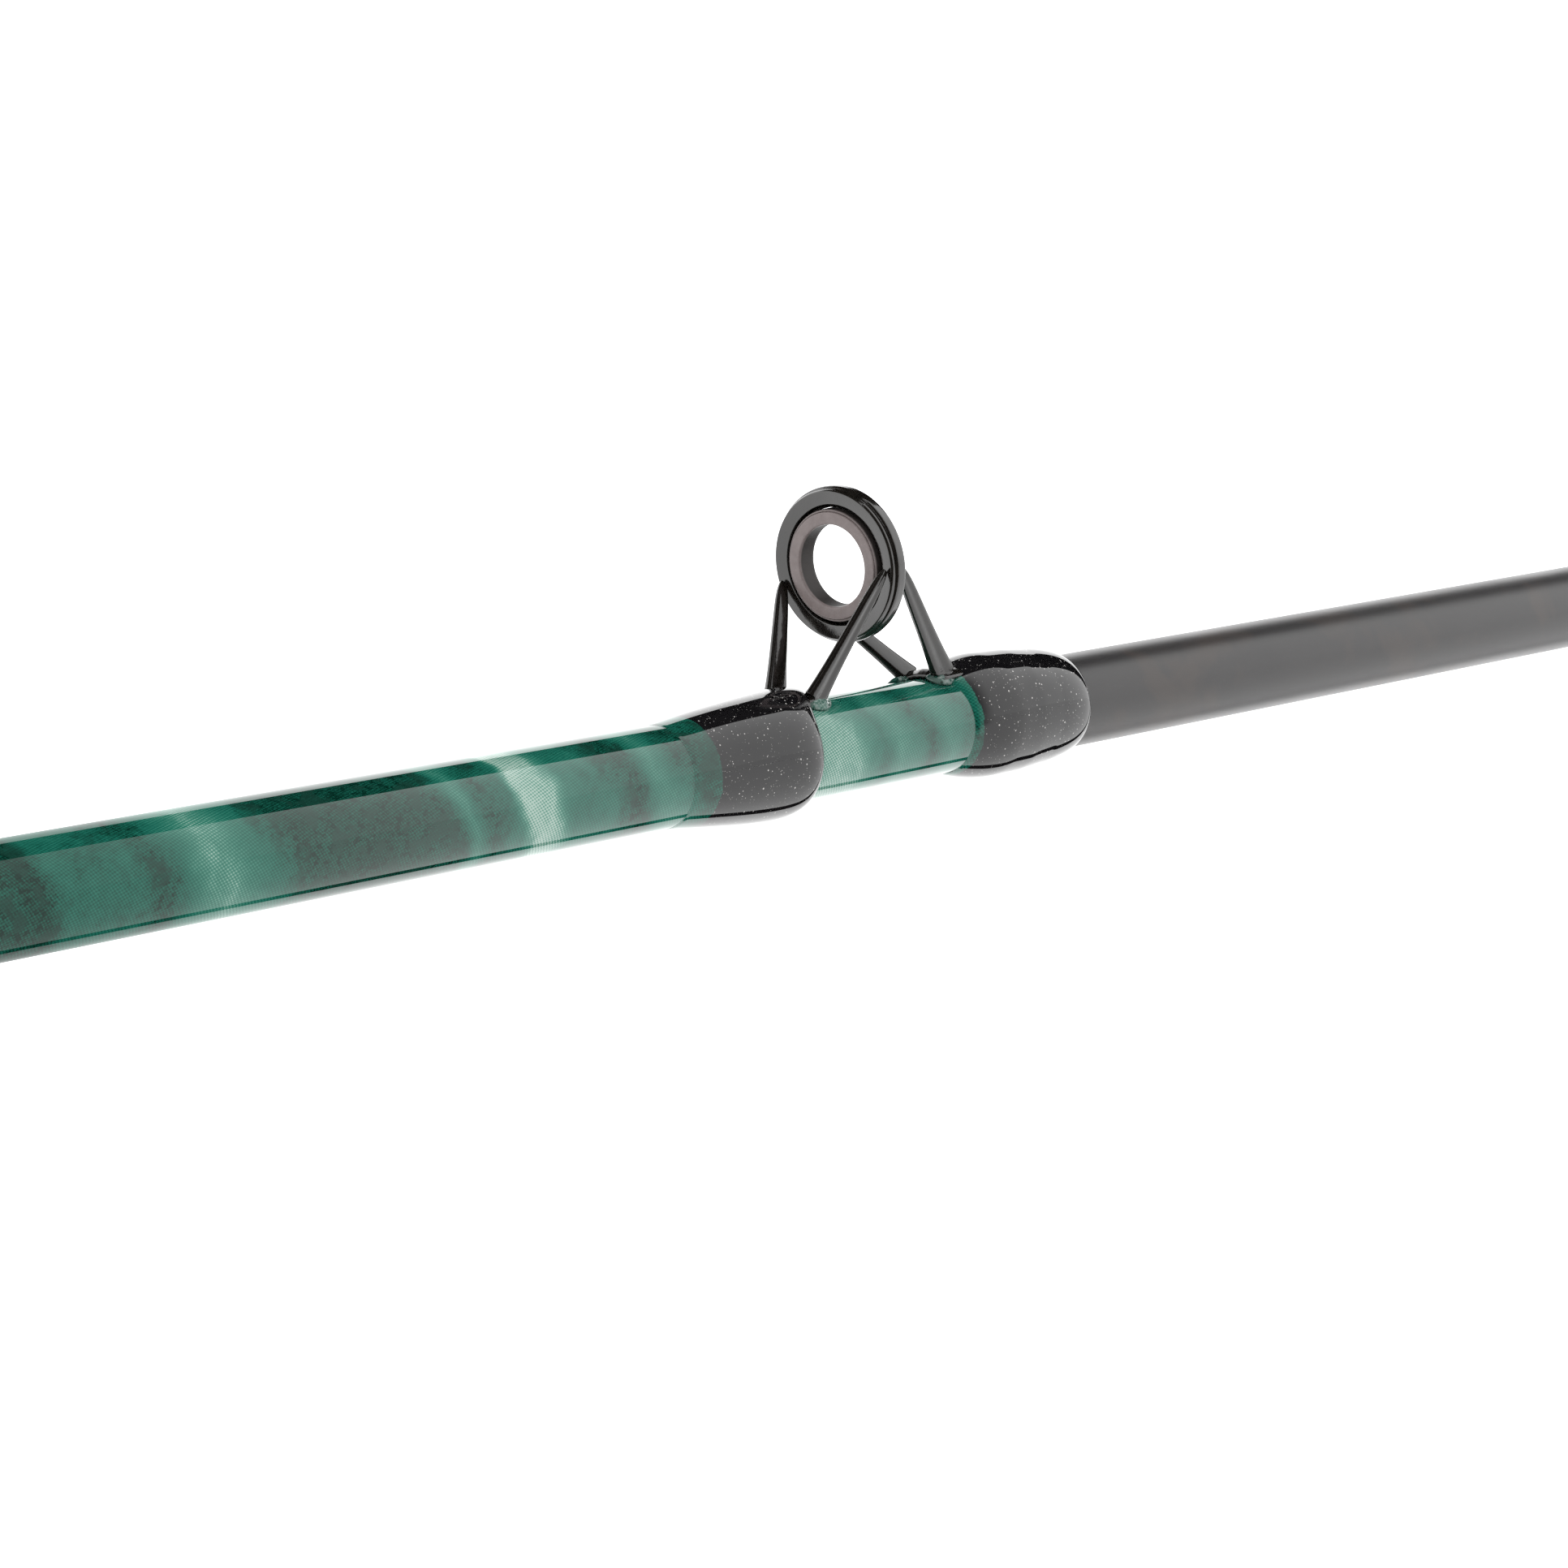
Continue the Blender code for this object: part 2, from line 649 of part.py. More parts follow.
def grip_piece(name, span, widest, shape):
    """Foam grip with rounded ends. The shape gives (share of the length, change of radius)."""
    length = span[1] - span[0]
    bore = butt_radius(span[0]) + GAP
    first, last = widest + shape[0][1], widest + shape[-1][1]
    outer = [(0, first - GRIP_ROUND), (GRIP_ROUND * 0.3, first - GRIP_ROUND * 0.3), (GRIP_ROUND, first)]
    outer += [(length * share, widest + change) for share, change in shape[1:-1]]
    outer += [
        (length - GRIP_ROUND, last),
        (length - GRIP_ROUND * 0.3, last - GRIP_ROUND * 0.3),
        (length, last - GRIP_ROUND),
    ]
    turned(name, outer + [(length, bore), (0, bore)], foam(), (span[0], 0, 0))


def hood(name, mouth_x, facing, bore, parent):
    """Hood that holds one end of a reel's foot: a ring with a dome on top and a pocket in it.
    Its mouth is at mouth_x and opens towards +X (facing 1) or -X (facing -1)."""

    def section(shape_name, profile, z, sides):
        flipped = [(facing * x, r) for x, r in profile]
        return turned(shape_name, flipped, steel(), (mouth_x, 0, z), parent, sides)

    back = -HOOD_LENGTH
    ring = section(
        name,
        ((0, 0), (0, HOOD_RING_R - 0.0005), (-0.0008, HOOD_RING_R), (back + 0.003, HOOD_RING_R))
        + ((back, HOOD_RING_R - 0.0010), (back, 0)),
        0,
        SEAT_SIDES,
    )
    dome = section(
        f"{name}_dome",
        ((DOME_LIP, 0), (DOME_LIP, DOME_R), (back * 0.56, DOME_R - 0.0004), (back * 0.78, DOME_R - 0.0026))
        + ((back * 0.94, DOME_R - 0.0062), (back * 0.94, 0)),
        DOME_Z,
        SEAT_SIDES,
    )
    pocket = section(
        f"{name}_pocket",
        ((0.002, 0), (0.002, POCKET_R), (-POCKET_DEPTH, POCKET_R - 0.0012), (-POCKET_DEPTH, 0)),
        DOME_Z,
        SEAT_SIDES,
    )
    past = 0.003
    through = section(
        f"{name}_bore",
        ((past, 0), (past, bore), (back - past, bore), (back - past, 0)),
        0,
        SEAT_SIDES,
    )
    combine(ring, [dome], "UNION")
    combine(ring, [through], "DIFFERENCE")
    combine(ring, [pocket], "DIFFERENCE")


def reel_seat(hood_slide, nut_turn):
    """Tubular seat with a flat for the reel's foot, a fixed hood, a sliding hood and its lock nut."""
    length = SEAT[1] - SEAT[0]
    body = turned(
        "reel_seat_body",
        rounded_ring(length, SEAT_R, SEAT_BORE_R, SEAT_EDGE),
        seat_resin(),
        (SEAT[0], 0, 0),
        sides=SEAT_SIDES,
    )
    flat_start, flat_end = HOOD[1] - POCKET_DEPTH, FIXED_HOOD[0] + POCKET_DEPTH
    cutter = bmesh.new()
    bmesh.ops.create_cube(cutter, size=1.0)
    size = (flat_end - flat_start, 4 * SEAT_R, SEAT_R)
    bmesh.ops.scale(cutter, vec=size, verts=cutter.verts)
    centre = ((flat_start + flat_end) / 2, 0, SEAT_FLAT_Z + SEAT_R / 2)
    cut = finish_mesh("seat_flat", cutter, seat_resin(), centre, None)
    combine(body, [cut], "DIFFERENCE")
    hood("fixed_hood", FIXED_HOOD[0], -1, SEAT_R + GAP / 2, None)
    hood("sliding_hood", HOOD[1] - hood_slide.location.x, 1, SEAT_R + RUNNING, hood_slide)
    lock_nut(nut_turn)


def lock_nut(nut_turn):
    """Grooved nut that runs on the seat and pushes the sliding hood towards the fixed one."""
    half = NUT_LENGTH / 2

    def outer(x, angle):
        groove = NUT_GROOVE * (round(angle * SEAT_SIDES / math.tau) % 2)
        return NUT_R - groove - (NUT_EDGE * 0.8 if abs(x) == half else 0.0)

    def inner(*_):
        return SEAT_R + RUNNING

    stations = (-half, -half + NUT_EDGE, half - NUT_EDGE, half)
    lofted("lock_nut", stations, outer, inner, anodised(), parent=nut_turn, sides=SEAT_SIDES)


def hook_keeper(seat, fold):
    """Small wire loop that folds out from a lug, on a plate held by two thread wraps."""
    radius = surface_radius(KEEPER_X - KEEPER_PLATE_LENGTH / 2) + GAP
    half = KEEPER_PLATE_LENGTH / 2
    lug_z = surface_radius(KEEPER_X) + KEEPER_PIVOT_RISE
    plate = foot_plate(
        "hook_keeper_plate",
        (-half, half),
        radius,
        (KEEPER_PLATE, KEEPER_PLATE),
        (KEEPER_PLATE_ANGLE, KEEPER_PLATE_ANGLE),
        steel(),
        seat,
    )
    lug = cross_rod("keeper_lug", KEEPER_LUG_R, KEEPER_LUG_HALF_WIDTH, lug_z, seat)
    post_top = lug_z - (KEEPER_LUG_R + KEEPER_WIRE_R) / 2 - PIN_RUNNING
    base, top = (0, 0, radius + KEEPER_PLATE / 2), (0, 0, post_top)
    post = bar("keeper_post", base, top, KEEPER_POST[:2], (KEEPER_POST[2], KEEPER_POST[2]), steel(), seat)
    hole = cross_rod("keeper_hole", KEEPER_WIRE_R + PIN_RUNNING, 2 * KEEPER_LUG_HALF_WIDTH, lug_z, seat)
    combine(plate, [lug, post], "UNION")
    combine(plate, [hole], "DIFFERENCE")
    keeper_loop(fold)

    def inner(_, angle):
        off_top = min(angle, math.tau - angle)
        over_plate = off_top <= KEEPER_PLATE_ANGLE + math.tau / SIDES
        return radius + (KEEPER_PLATE + GAP if over_plate else 0.0)

    def outer(x, angle):
        return inner(x, angle) + KEEPER_THREAD

    near, far = KEEPER_WRAP_GAP, half + KEEPER_WRAP_PAST
    for name, span in (("rear", (-far, -near)), ("front", (near, far))):
        lofted(f"hook_keeper_{name}_wrap", span, outer, inner, thread(), parent=seat)


def cross_rod(name, radius, half_width, z, parent):
    """Round bar that lies across the rod, used for the keeper's lug and its hole."""
    shape = bmesh.new()
    bmesh.ops.create_cone(
        shape, cap_ends=True, segments=WIRE_SIDES, radius1=radius, radius2=radius, depth=2 * half_width
    )
    bmesh.ops.rotate(shape, cent=(0, 0, 0), matrix=Matrix.Rotation(math.pi / 2, 3, "X"), verts=shape.verts)
    return finish_mesh(name, shape, steel(), (0, 0, z), parent)


def keeper_loop(fold):
    """Closed wire loop: a straight pin in the lug, two sides, and a round end towards the butt."""
    corner, length, half = KEEPER_CORNER, KEEPER_LOOP_LENGTH, KEEPER_LOOP_HALF_WIDTH
    centres = (
        (-corner, half - corner, 0),
        (corner - length, half - corner, 90),
        (corner - length, corner - half, 180),
        (-corner, corner - half, 270),
    )
    path = []
    for x, y, start in centres:
        for turn in (0, 45, 90):
            angle = math.radians(start + turn)
            path.append(Vector((x + corner * math.cos(angle), y + corner * math.sin(angle), 0)))
    shape = bmesh.new()
    rings = []
    for i, point in enumerate(path):
        ahead = (path[(i + 1) % len(path)] - path[i - 1]).normalized()
        out = ahead.cross(Vector((0, 0, 1)))
        before = (point - path[i - 1]).normalized()
        stretch = 1 / max(0.5, before.dot(ahead))
        rings.append(
            [
                shape.verts.new(
                    point
                    + out * (KEEPER_WIRE_R * stretch * math.cos(math.tau * j / WIRE_SIDES))
                    + Vector((0, 0, KEEPER_WIRE_R * math.sin(math.tau * j / WIRE_SIDES)))
                )
                for j in range(WIRE_SIDES)
            ]
        )
    for one, other in zip(rings, rings[1:] + rings[:1]):
        for i in range(WIRE_SIDES):
            j = (i + 1) % WIRE_SIDES
            shape.faces.new((one[i], one[j], other[j], other[i]))
    finish_mesh("hook_keeper_loop", shape, steel(), (0, 0, 0), fold)


def ferrule_wraps(tip_section):
    """Thread wraps that stiffen the tip section's socket and mark where it stops."""
    length, wall = SOCKET_WRAP, THREAD
    inner = SOCKET_R + GAP
    place = (SOCKET_WRAP_INSET, 0, 0)
    turned("ferrule_socket_wrap", plain_ring(length, inner + wall, inner), thread(), place, tip_section)
    start = TIP_SECTION_X - STOP_WRAP_BACK
    inner = butt_radius(start) + GAP
    turned("ferrule_stop_wrap", plain_ring(STOP_WRAP, inner + wall, inner), thread(), (start, 0, 0))


def tip_top(tip_section):
    """Tube glued over the tip's end, with a ring on two braces, and a wrap behind it."""
    scale = TIP_RING_SIZE / RING_SIZE
    end = ROD_LENGTH - INSERT_STAND * scale
    ring_x = end - RING_WIDTH * scale - TIP_SECTION_X
    tube = (end - TIP_TUBE_LENGTH - TIP_SECTION_X, end - TIP_TUBE_INSET - TIP_SECTION_X)
    bore = tip_radius(tube[0] + TIP_SECTION_X) + GAP
    outer = bore + TIP_TUBE_WALL
    rise = outer - TIP_TUBE_WALL * 0.4 + RING_R * scale
    frame = ring_and_insert("tip_top", scale, (ring_x, 0, rise), 0.0, tip_section)
    profile = ((tube[0], outer), (tube[1], outer), (tube[1], bore), (tube[0], bore))
    parts = [turned("tip_tube", profile, black_metal(), parent=tip_section, sides=SMALL_SIDES)]
    for side in (-1, 1):
        angle = side * TIP_BRACE_ANGLE
        base = (tube[0] + TIP_BRACE_BACK, outer * math.sin(angle), outer * math.cos(angle))
        top = (ring_x + RING_WIDTH * scale / 2, side * (RING_R - 0.0012) * scale, rise)
        name = f"tip_brace_{side}"
        parts.append(bar(name, base, top, TIP_BRACE_WIDTH, TIP_BRACE_THICKNESS, black_metal(), tip_section))
    combine(frame, parts, "UNION")
    start = tube[0] - FACE_GAP - TIP_WRAP
    inner = tip_radius(start + TIP_SECTION_X) + GAP
    profile = ((0, inner + THREAD * 0.4), (TIP_WRAP, outer - THREAD * 0.2), (TIP_WRAP, inner), (0, inner))
    turned("tip_top_wrap", profile, thread(), (start, 0, 0), tip_section, SMALL_SIDES)


def main():
    for old in list(bpy.data.objects):
        bpy.data.objects.remove(old)
    tip_section = frame_empty("tip_section_slide_axis", (TIP_SECTION_X, 0, 0))
    hood_slide = frame_empty("hood_slide_axis", (HOOD[0], 0, 0))
    nut_turn = frame_empty("nut_turn_axis", ((NUT[0] + NUT[1]) / 2 - HOOD[0], 0, 0), hood_slide)
    keeper_seat = frame_empty("hook_keeper_seat", (KEEPER_X, 0, 0), turn=math.pi)
    pivot = surface_radius(KEEPER_X) + KEEPER_PIVOT_RISE
    keeper_fold = frame_empty("hook_keeper_fold_axis", (0, 0, pivot), keeper_seat)
    bpy.context.view_layer.update()
    blanks(tip_section)
    sleeve()
    handle()
    reel_seat(hood_slide, nut_turn)
    hook_keeper(keeper_seat, keeper_fold)
    ferrule_wraps(tip_section)
    for name, x, size in GUIDES:
        on_tip = x > TIP_SECTION_X
        section = frame_empty(f"{name}_guide_section", (0, 0, 0), None)
        if on_tip:
            section.parent = tip_section
            section.location.x = -TIP_SECTION_X
        guide(name, x, size, section)
    tip_top(tip_section)
    bpy.context.view_layer.update()


main()
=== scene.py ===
"""Looks of a take-apart casting rod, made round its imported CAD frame.

Metres, in the frame's own axes: the rod lies along +X from butt to tip, with its guides and reel
seat on top (+Z). Lengths that end in _MM are millimetres, and the guides are shaped in those.
"""
import json
import math

import bmesh
import bpy
import numpy as np
from mathutils import Matrix, Vector


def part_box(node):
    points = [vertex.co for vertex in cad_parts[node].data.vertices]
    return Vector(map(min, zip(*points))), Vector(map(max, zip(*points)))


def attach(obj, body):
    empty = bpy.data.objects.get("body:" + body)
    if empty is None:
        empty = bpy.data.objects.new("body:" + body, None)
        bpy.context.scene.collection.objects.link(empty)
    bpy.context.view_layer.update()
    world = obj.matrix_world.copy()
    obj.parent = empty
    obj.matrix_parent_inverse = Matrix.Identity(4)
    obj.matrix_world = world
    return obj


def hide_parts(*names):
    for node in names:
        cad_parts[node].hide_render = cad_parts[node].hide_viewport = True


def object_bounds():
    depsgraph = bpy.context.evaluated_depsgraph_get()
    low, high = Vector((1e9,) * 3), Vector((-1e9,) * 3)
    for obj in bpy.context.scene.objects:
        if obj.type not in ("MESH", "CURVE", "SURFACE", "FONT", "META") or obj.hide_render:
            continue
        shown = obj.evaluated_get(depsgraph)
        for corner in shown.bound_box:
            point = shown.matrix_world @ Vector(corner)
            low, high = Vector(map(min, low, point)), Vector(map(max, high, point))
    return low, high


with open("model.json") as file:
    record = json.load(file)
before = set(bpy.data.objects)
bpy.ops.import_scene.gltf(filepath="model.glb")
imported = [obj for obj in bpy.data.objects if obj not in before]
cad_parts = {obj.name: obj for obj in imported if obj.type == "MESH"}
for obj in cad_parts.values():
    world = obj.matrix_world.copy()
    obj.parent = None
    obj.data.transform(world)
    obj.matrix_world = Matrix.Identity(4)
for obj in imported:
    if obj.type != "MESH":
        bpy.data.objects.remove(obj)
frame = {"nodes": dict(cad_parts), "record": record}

CAD_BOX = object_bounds()
BODY_OF = {node: body for body, nodes in frame["record"]["behaviour"]["bodies"].items() for node in nodes}
MM = 0.001
ROUND = 96  # faces round a turned piece
FINE_ROUND = 160
SEAT_ROUND = 128

# Guide, in millimetres, for a size 16 ring: other guides are scaled from it
INSERT_R_MM = 7.9
RING_WIDTH_MM = 2.9
RING_LEAN = math.radians(3.5)
RING_PROFILE_MM = (
    (2.90, 7.98), (2.90, 10.30), (2.55, 10.92), (2.20, 10.99), (1.15, 10.99), (0.80, 10.85),
    (0.70, 10.62), (0.30, 10.55), (0.04, 10.38), (0.06, 10.18), (0.40, 8.45), (0.75, 8.36),
    (1.20, 8.30), (1.30, 7.98),
)
INSERT_PROFILE_MM = (
    (-0.28, 7.42), (-0.30, 5.90), (-0.05, 5.74), (0.60, 5.72), (2.50, 5.72), (3.00, 5.90),
    (3.20, 6.40), (3.20, 7.30), (2.90, 7.90), (0.15, 7.90), (-0.06, 7.78), (-0.06, 7.62),
    (0.06, 7.52), (-0.22, 7.50),
)
COLLAR_PROFILE_MM = ((0.5, 9.6), (0.5, 10.2), (2.6, 10.2), (2.6, 9.6))
REAR_LEG_MM = ((-11.5, 0.49), (-0.1, 9.4, 16.0))  # base x and angle round the rod, then the top end
FRONT_LEG_MM = ((17.2, 0.40), (2.7, 9.75, 16.1))
LEG_WIDTH_MM = (3.3, 1.95)
LEG_THICKNESS_MM = (1.35, 1.15)
FOOT_MM = 1.1
TOE_MM = 0.4
REAR_FOOT_MM = (-32.0, -9.6)
FRONT_FOOT_MM = (14.9, 40.0)
FOOT_ANGLES = (0.16, 0.62)
GAP_MM = 0.2
THREAD_MM = 0.5
WELD_MM = {"stripper": 0.15, "others": 0.24, "tip_top": 0.16}  # how fine the welded struts are

# Coats over the stripper guide's wraps, in millimetres from the ring: the span at the side of the
# rod, how much further each end reaches over the top, and where the thread starts
REAR_COAT_MM = ((-41.0, -15.4), (0.0, 5.6), -36.2)
FRONT_COAT_MM = ((18.0, 44.7), (-1.6, 0.0), 19.4)
GLOSS_IOR = 1.45
THIN_GLOSS_MM = (-165.0, -80.0)  # the cloth's gloss dulls from here towards the butt

# Camera: its turn is azimuth, elevation and roll in degrees, and it aims at a place given along
# the rod from the ring, and up
CAMERA_TURN = (-48.40, 3.22, -7.36)
CAMERA_DISTANCE = 0.7132
CAMERA_AIM = (-0.01587, -0.00408)
CAMERA_LENS = 120.19

# Studio, in metres: how strong the white surroundings are, how far the floor lies below the rod,
# and where the black flags stand. The side flag fades out along a cone round a place on the rod,
# by the distance along the rod from there over the distance from the rod.
SURROUND = 2.2
FLOOR_DROP = 0.26
OVERHEAD_Y, OVERHEAD_Z = (-0.095, 0.39), 0.5
LOW_Y, LOW_Z = (0.026, 0.066), -0.2
SIDE_Y, SIDE_TOP = -1.5, 6.0
SIDE_CENTRE = 0.67
SIDE_FADE = (0.50, 0.22)


# ---------------------------------------------------------------- reading the frame


def node_points(node):
    """All the CAD node's points, as rows of x, y, z."""
    mesh = frame["nodes"][node].data
    points = np.empty(len(mesh.vertices) * 3, np.float32)
    mesh.vertices.foreach_get("co", points)
    return points.reshape(-1, 3).astype(float)


def outline(node):
    """Stations along X of a turned CAD node, and its largest distance from the rod's axis at each."""
    points = node_points(node)
    x, radius = np.round(points[:, 0], 5), np.hypot(points[:, 1], points[:, 2])
    stations = np.unique(x)
    return stations, np.array([radius[x == station].max() for station in stations])


def bore_radius(node):
    """Smallest distance of a CAD node's points from the rod's axis."""
    points = node_points(node)
    return np.hypot(points[:, 1], points[:, 2]).min()


BUTT, TIP, SLEEVE = (outline(node) for node in ("butt_section_blank", "tip_section_blank", "fabric_sleeve"))


def rod_radius(x):
    """Radius of the surface that wraps and guide feet sit on: sleeve, butt blank or tip blank."""
    for stations, radii in (SLEEVE, TIP):
        if stations[0] <= x <= stations[-1]:
            return float(np.interp(x, stations, radii))
    return float(np.interp(x, *BUTT))


# ---------------------------------------------------------------- surfaces


def angles(sides):
    """Equal steps round a full turn, from the top of the rod towards +Y."""
    return np.arange(sides) * (math.tau / sides)


def round_rod(x, radius, angle):
    """Points at a distance from the rod's axis: (x, r sin a, r cos a)."""
    return np.stack(np.broadcast_arrays(x, radius * np.sin(angle), radius * np.cos(angle)), axis=-1)


def skin(name, points, closed_rows=False):
    """Quads over a grid of points. Columns always close round, and rows close when asked. Points
    that fall together at a pole are merged, and the faces are turned to enclose positive volume."""
    rows, columns = points.shape[:2]
    last = rows if closed_rows else rows - 1
    i, j = (index.ravel() for index in np.meshgrid(np.arange(last), np.arange(columns), indexing="ij"))
    ahead, beside = (i + 1) % rows, (j + 1) % columns
    corners = (i * columns + j, ahead * columns + j, ahead * columns + beside, i * columns + beside)
    quads = np.stack(corners, axis=1)
    flat = points.reshape(-1, 3)
    a, b, c, d = (flat[quads[:, k]] for k in range(4))
    if np.sum(a * np.cross(b, c)) + np.sum(a * np.cross(c, d)) < 0:
        quads = quads[:, ::-1]
    mesh = bpy.data.meshes.new(name)
    mesh.from_pydata(flat.tolist(), [], quads.tolist())
    tidy = bmesh.new()
    tidy.from_mesh(mesh)
    bmesh.ops.remove_doubles(tidy, verts=tidy.verts, dist=1e-7)
    tidy.to_mesh(mesh)
    tidy.free()
    return mesh


def rounded(profile, radius, steps=4, closed=True):
    """Profile whose corners are parabolas that start and end a radius away from each corner, or
    less on a short side. An open profile keeps its two ends."""
    corner = np.asarray(profile, float)
    before, after = np.roll(corner, 1, axis=0) - corner, np.roll(corner, -1, axis=0) - corner

    def towards(side):
        length = np.linalg.norm(side, axis=1, keepdims=True)
        return (corner + side * np.minimum(radius / np.maximum(length, 1e-9), 0.45))[:, None]

    t = np.linspace(0, 1, steps + 1)[None, :, None]
    curve = towards(before) * (1 - t) ** 2 + 2 * corner[:, None] * t * (1 - t) + towards(after) * t**2
    if closed:
        return curve.reshape(-1, 2)
    return np.concatenate([corner[:1], curve[1:-1].reshape(-1, 2), corner[-1:]])


def evenly(profile, step, closed=True):
    """The same outline with points about a step apart, at equal distances along it."""
    ring = np.concatenate([profile, profile[:1]]) if closed else profile
    length = np.concatenate([[0], np.cumsum(np.linalg.norm(np.diff(ring, axis=0), axis=1))])
    count = max(8, int(length[-1] / step))
    at = np.linspace(0, length[-1], count, endpoint=not closed)
    return np.stack([np.interp(at, length, ring[:, 0]), np.interp(at, length, ring[:, 1])], axis=1)


def turned(profile, sides=ROUND, relief=None):
    """A profile of (x, radius) carried round the X axis: (x, r sin a, r cos a). Relief is added to
    the radius, as a function of x, the radius and the angle."""
    angle = angles(sides)[None, :]
    x, radius = profile[:, :1], profile[:, 1:]
    if relief is not None:
        radius = radius + relief(x, radius, angle)
    return round_rod(x, radius, angle)


def jacket(name, x, outer, inner, angle):
    """Closed shell over a stretch of rod: the outer surface out, then the inner surface back."""
    radius = np.concatenate([outer, np.broadcast_to(inner, outer.shape)[::-1]])
    return skin(name, round_rod(np.concatenate([x, x[::-1]]), radius, angle), closed_rows=True)


def squarish(u, power):
    """The cosine and sine of u, each to a power with its sign kept: below 1 is squarer than round."""
    return [np.sign(wave) * np.abs(wave) ** power for wave in (np.cos(u), np.sin(u))]


def capped(rings, centres):
    """Rings of points, closed by a point at each end."""
    ends = [np.repeat(centres[i : i + 1], rings.shape[1], axis=1) for i in (0, len(rings) - 1)]
    return np.concatenate([ends[0], rings, ends[1]])


def tube(path, across, up, sides, width, height, power=1.0):
    """A section carried along a path: centre + across * w/2 * cos(u)^power + up * h/2 * sin(u)^power,
    signs kept. Power 1 is an ellipse, and less is squarer. Both ends close to a point."""
    side, rise = squarish(angles(sides)[None, :, None], power)
    half = [np.broadcast_to(size, len(path))[:, None, None] / 2 for size in (width, height)]
    centre = path[:, None, :]
    return capped(centre + across * (half[0] * side) + up * (half[1] * rise), centre)


def placed(name, data):
    """A scene object that holds a mesh or a camera."""
    made = bpy.data.objects.new(name, data)
    bpy.context.scene.collection.objects.link(made)
    return made


def present(name, mesh, finish, nodes, sharp=None):
    """Makes the mesh a piece with the finish that rides on the nodes' body, and hides the nodes. Edges
    bent by more than the sharp angle stay crisp."""
    mesh.materials.clear()
    mesh.materials.append(finish)
    mesh.shade_smooth()
    if sharp is not None:
        mesh.set_sharp_from_angle(angle=math.radians(sharp))
    piece = placed(name, mesh)
    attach(piece, BODY_OF[nodes[0]])
    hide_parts(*nodes)
    return piece


def dress(node, finish):
    """Gives a CAD node that stays its finish."""
    slots = frame["nodes"][node].data.materials
    slots.clear()
    slots.append(finish)


def evaluated(mesh, modifiers):
    """The mesh after these modifiers, each given as (type, settings)."""
    holder = placed("holder", mesh)
    for kind, settings in modifiers:
        step = holder.modifiers.new(kind.lower(), kind)
        for setting, value in settings.items():
            setattr(step, setting, value)
    graph = bpy.context.evaluated_depsgraph_get()
    made = bpy.data.meshes.new_from_object(holder.evaluated_get(graph))
    bpy.data.objects.remove(holder)
    return made


def joined(name, meshes):
    """One mesh of several."""
    whole = bmesh.new()
    for mesh in meshes:
        whole.from_mesh(mesh)
        bpy.data.meshes.remove(mesh)
    made = bpy.data.meshes.new(name)
    whole.to_mesh(made)
    whole.free()
    return made


def welded(name, meshes, voxel_mm, place):
    """Closed shapes in millimetres fused into one skin, with soft fillets where they meet."""
    fused = evaluated(
        joined(name, meshes),
        [
            ("REMESH", {"mode": "VOXEL", "voxel_size": voxel_mm}),
            ("SMOOTH", {"factor": 0.5, "iterations": 3}),
        ],
    )
    fused.transform(place @ Matrix.Scale(MM, 4))
    fused.name = name
    return fused


# ---------------------------------------------------------------- materials


class Value:
    """A shader socket that takes part in sums: each operator adds one Math node."""

    def __init__(self, finish, socket):
        self.finish = finish
        self.socket = socket

    def math(self, operation, *others):
        sockets = dict(enumerate((self, *others)))
        return self.finish.node("ShaderNodeMath", {"operation": operation}, sockets)

    def __add__(self, other):
        return self.math("ADD", other)

    __radd__ = __add__

    def __mul__(self, other):
        return self.math("MULTIPLY", other)

    __rmul__ = __mul__

    def __sub__(self, other):
        return self.math("SUBTRACT", other)

    def __rsub__(self, other):
        return self.finish.node("ShaderNodeMath", {"operation": "SUBTRACT"}, {0: other, 1: self})

    def wave(self, period):
        """0 to 1 and back over each period."""
        return (self * (math.tau / period)).math("SINE") * 0.5 + 0.5


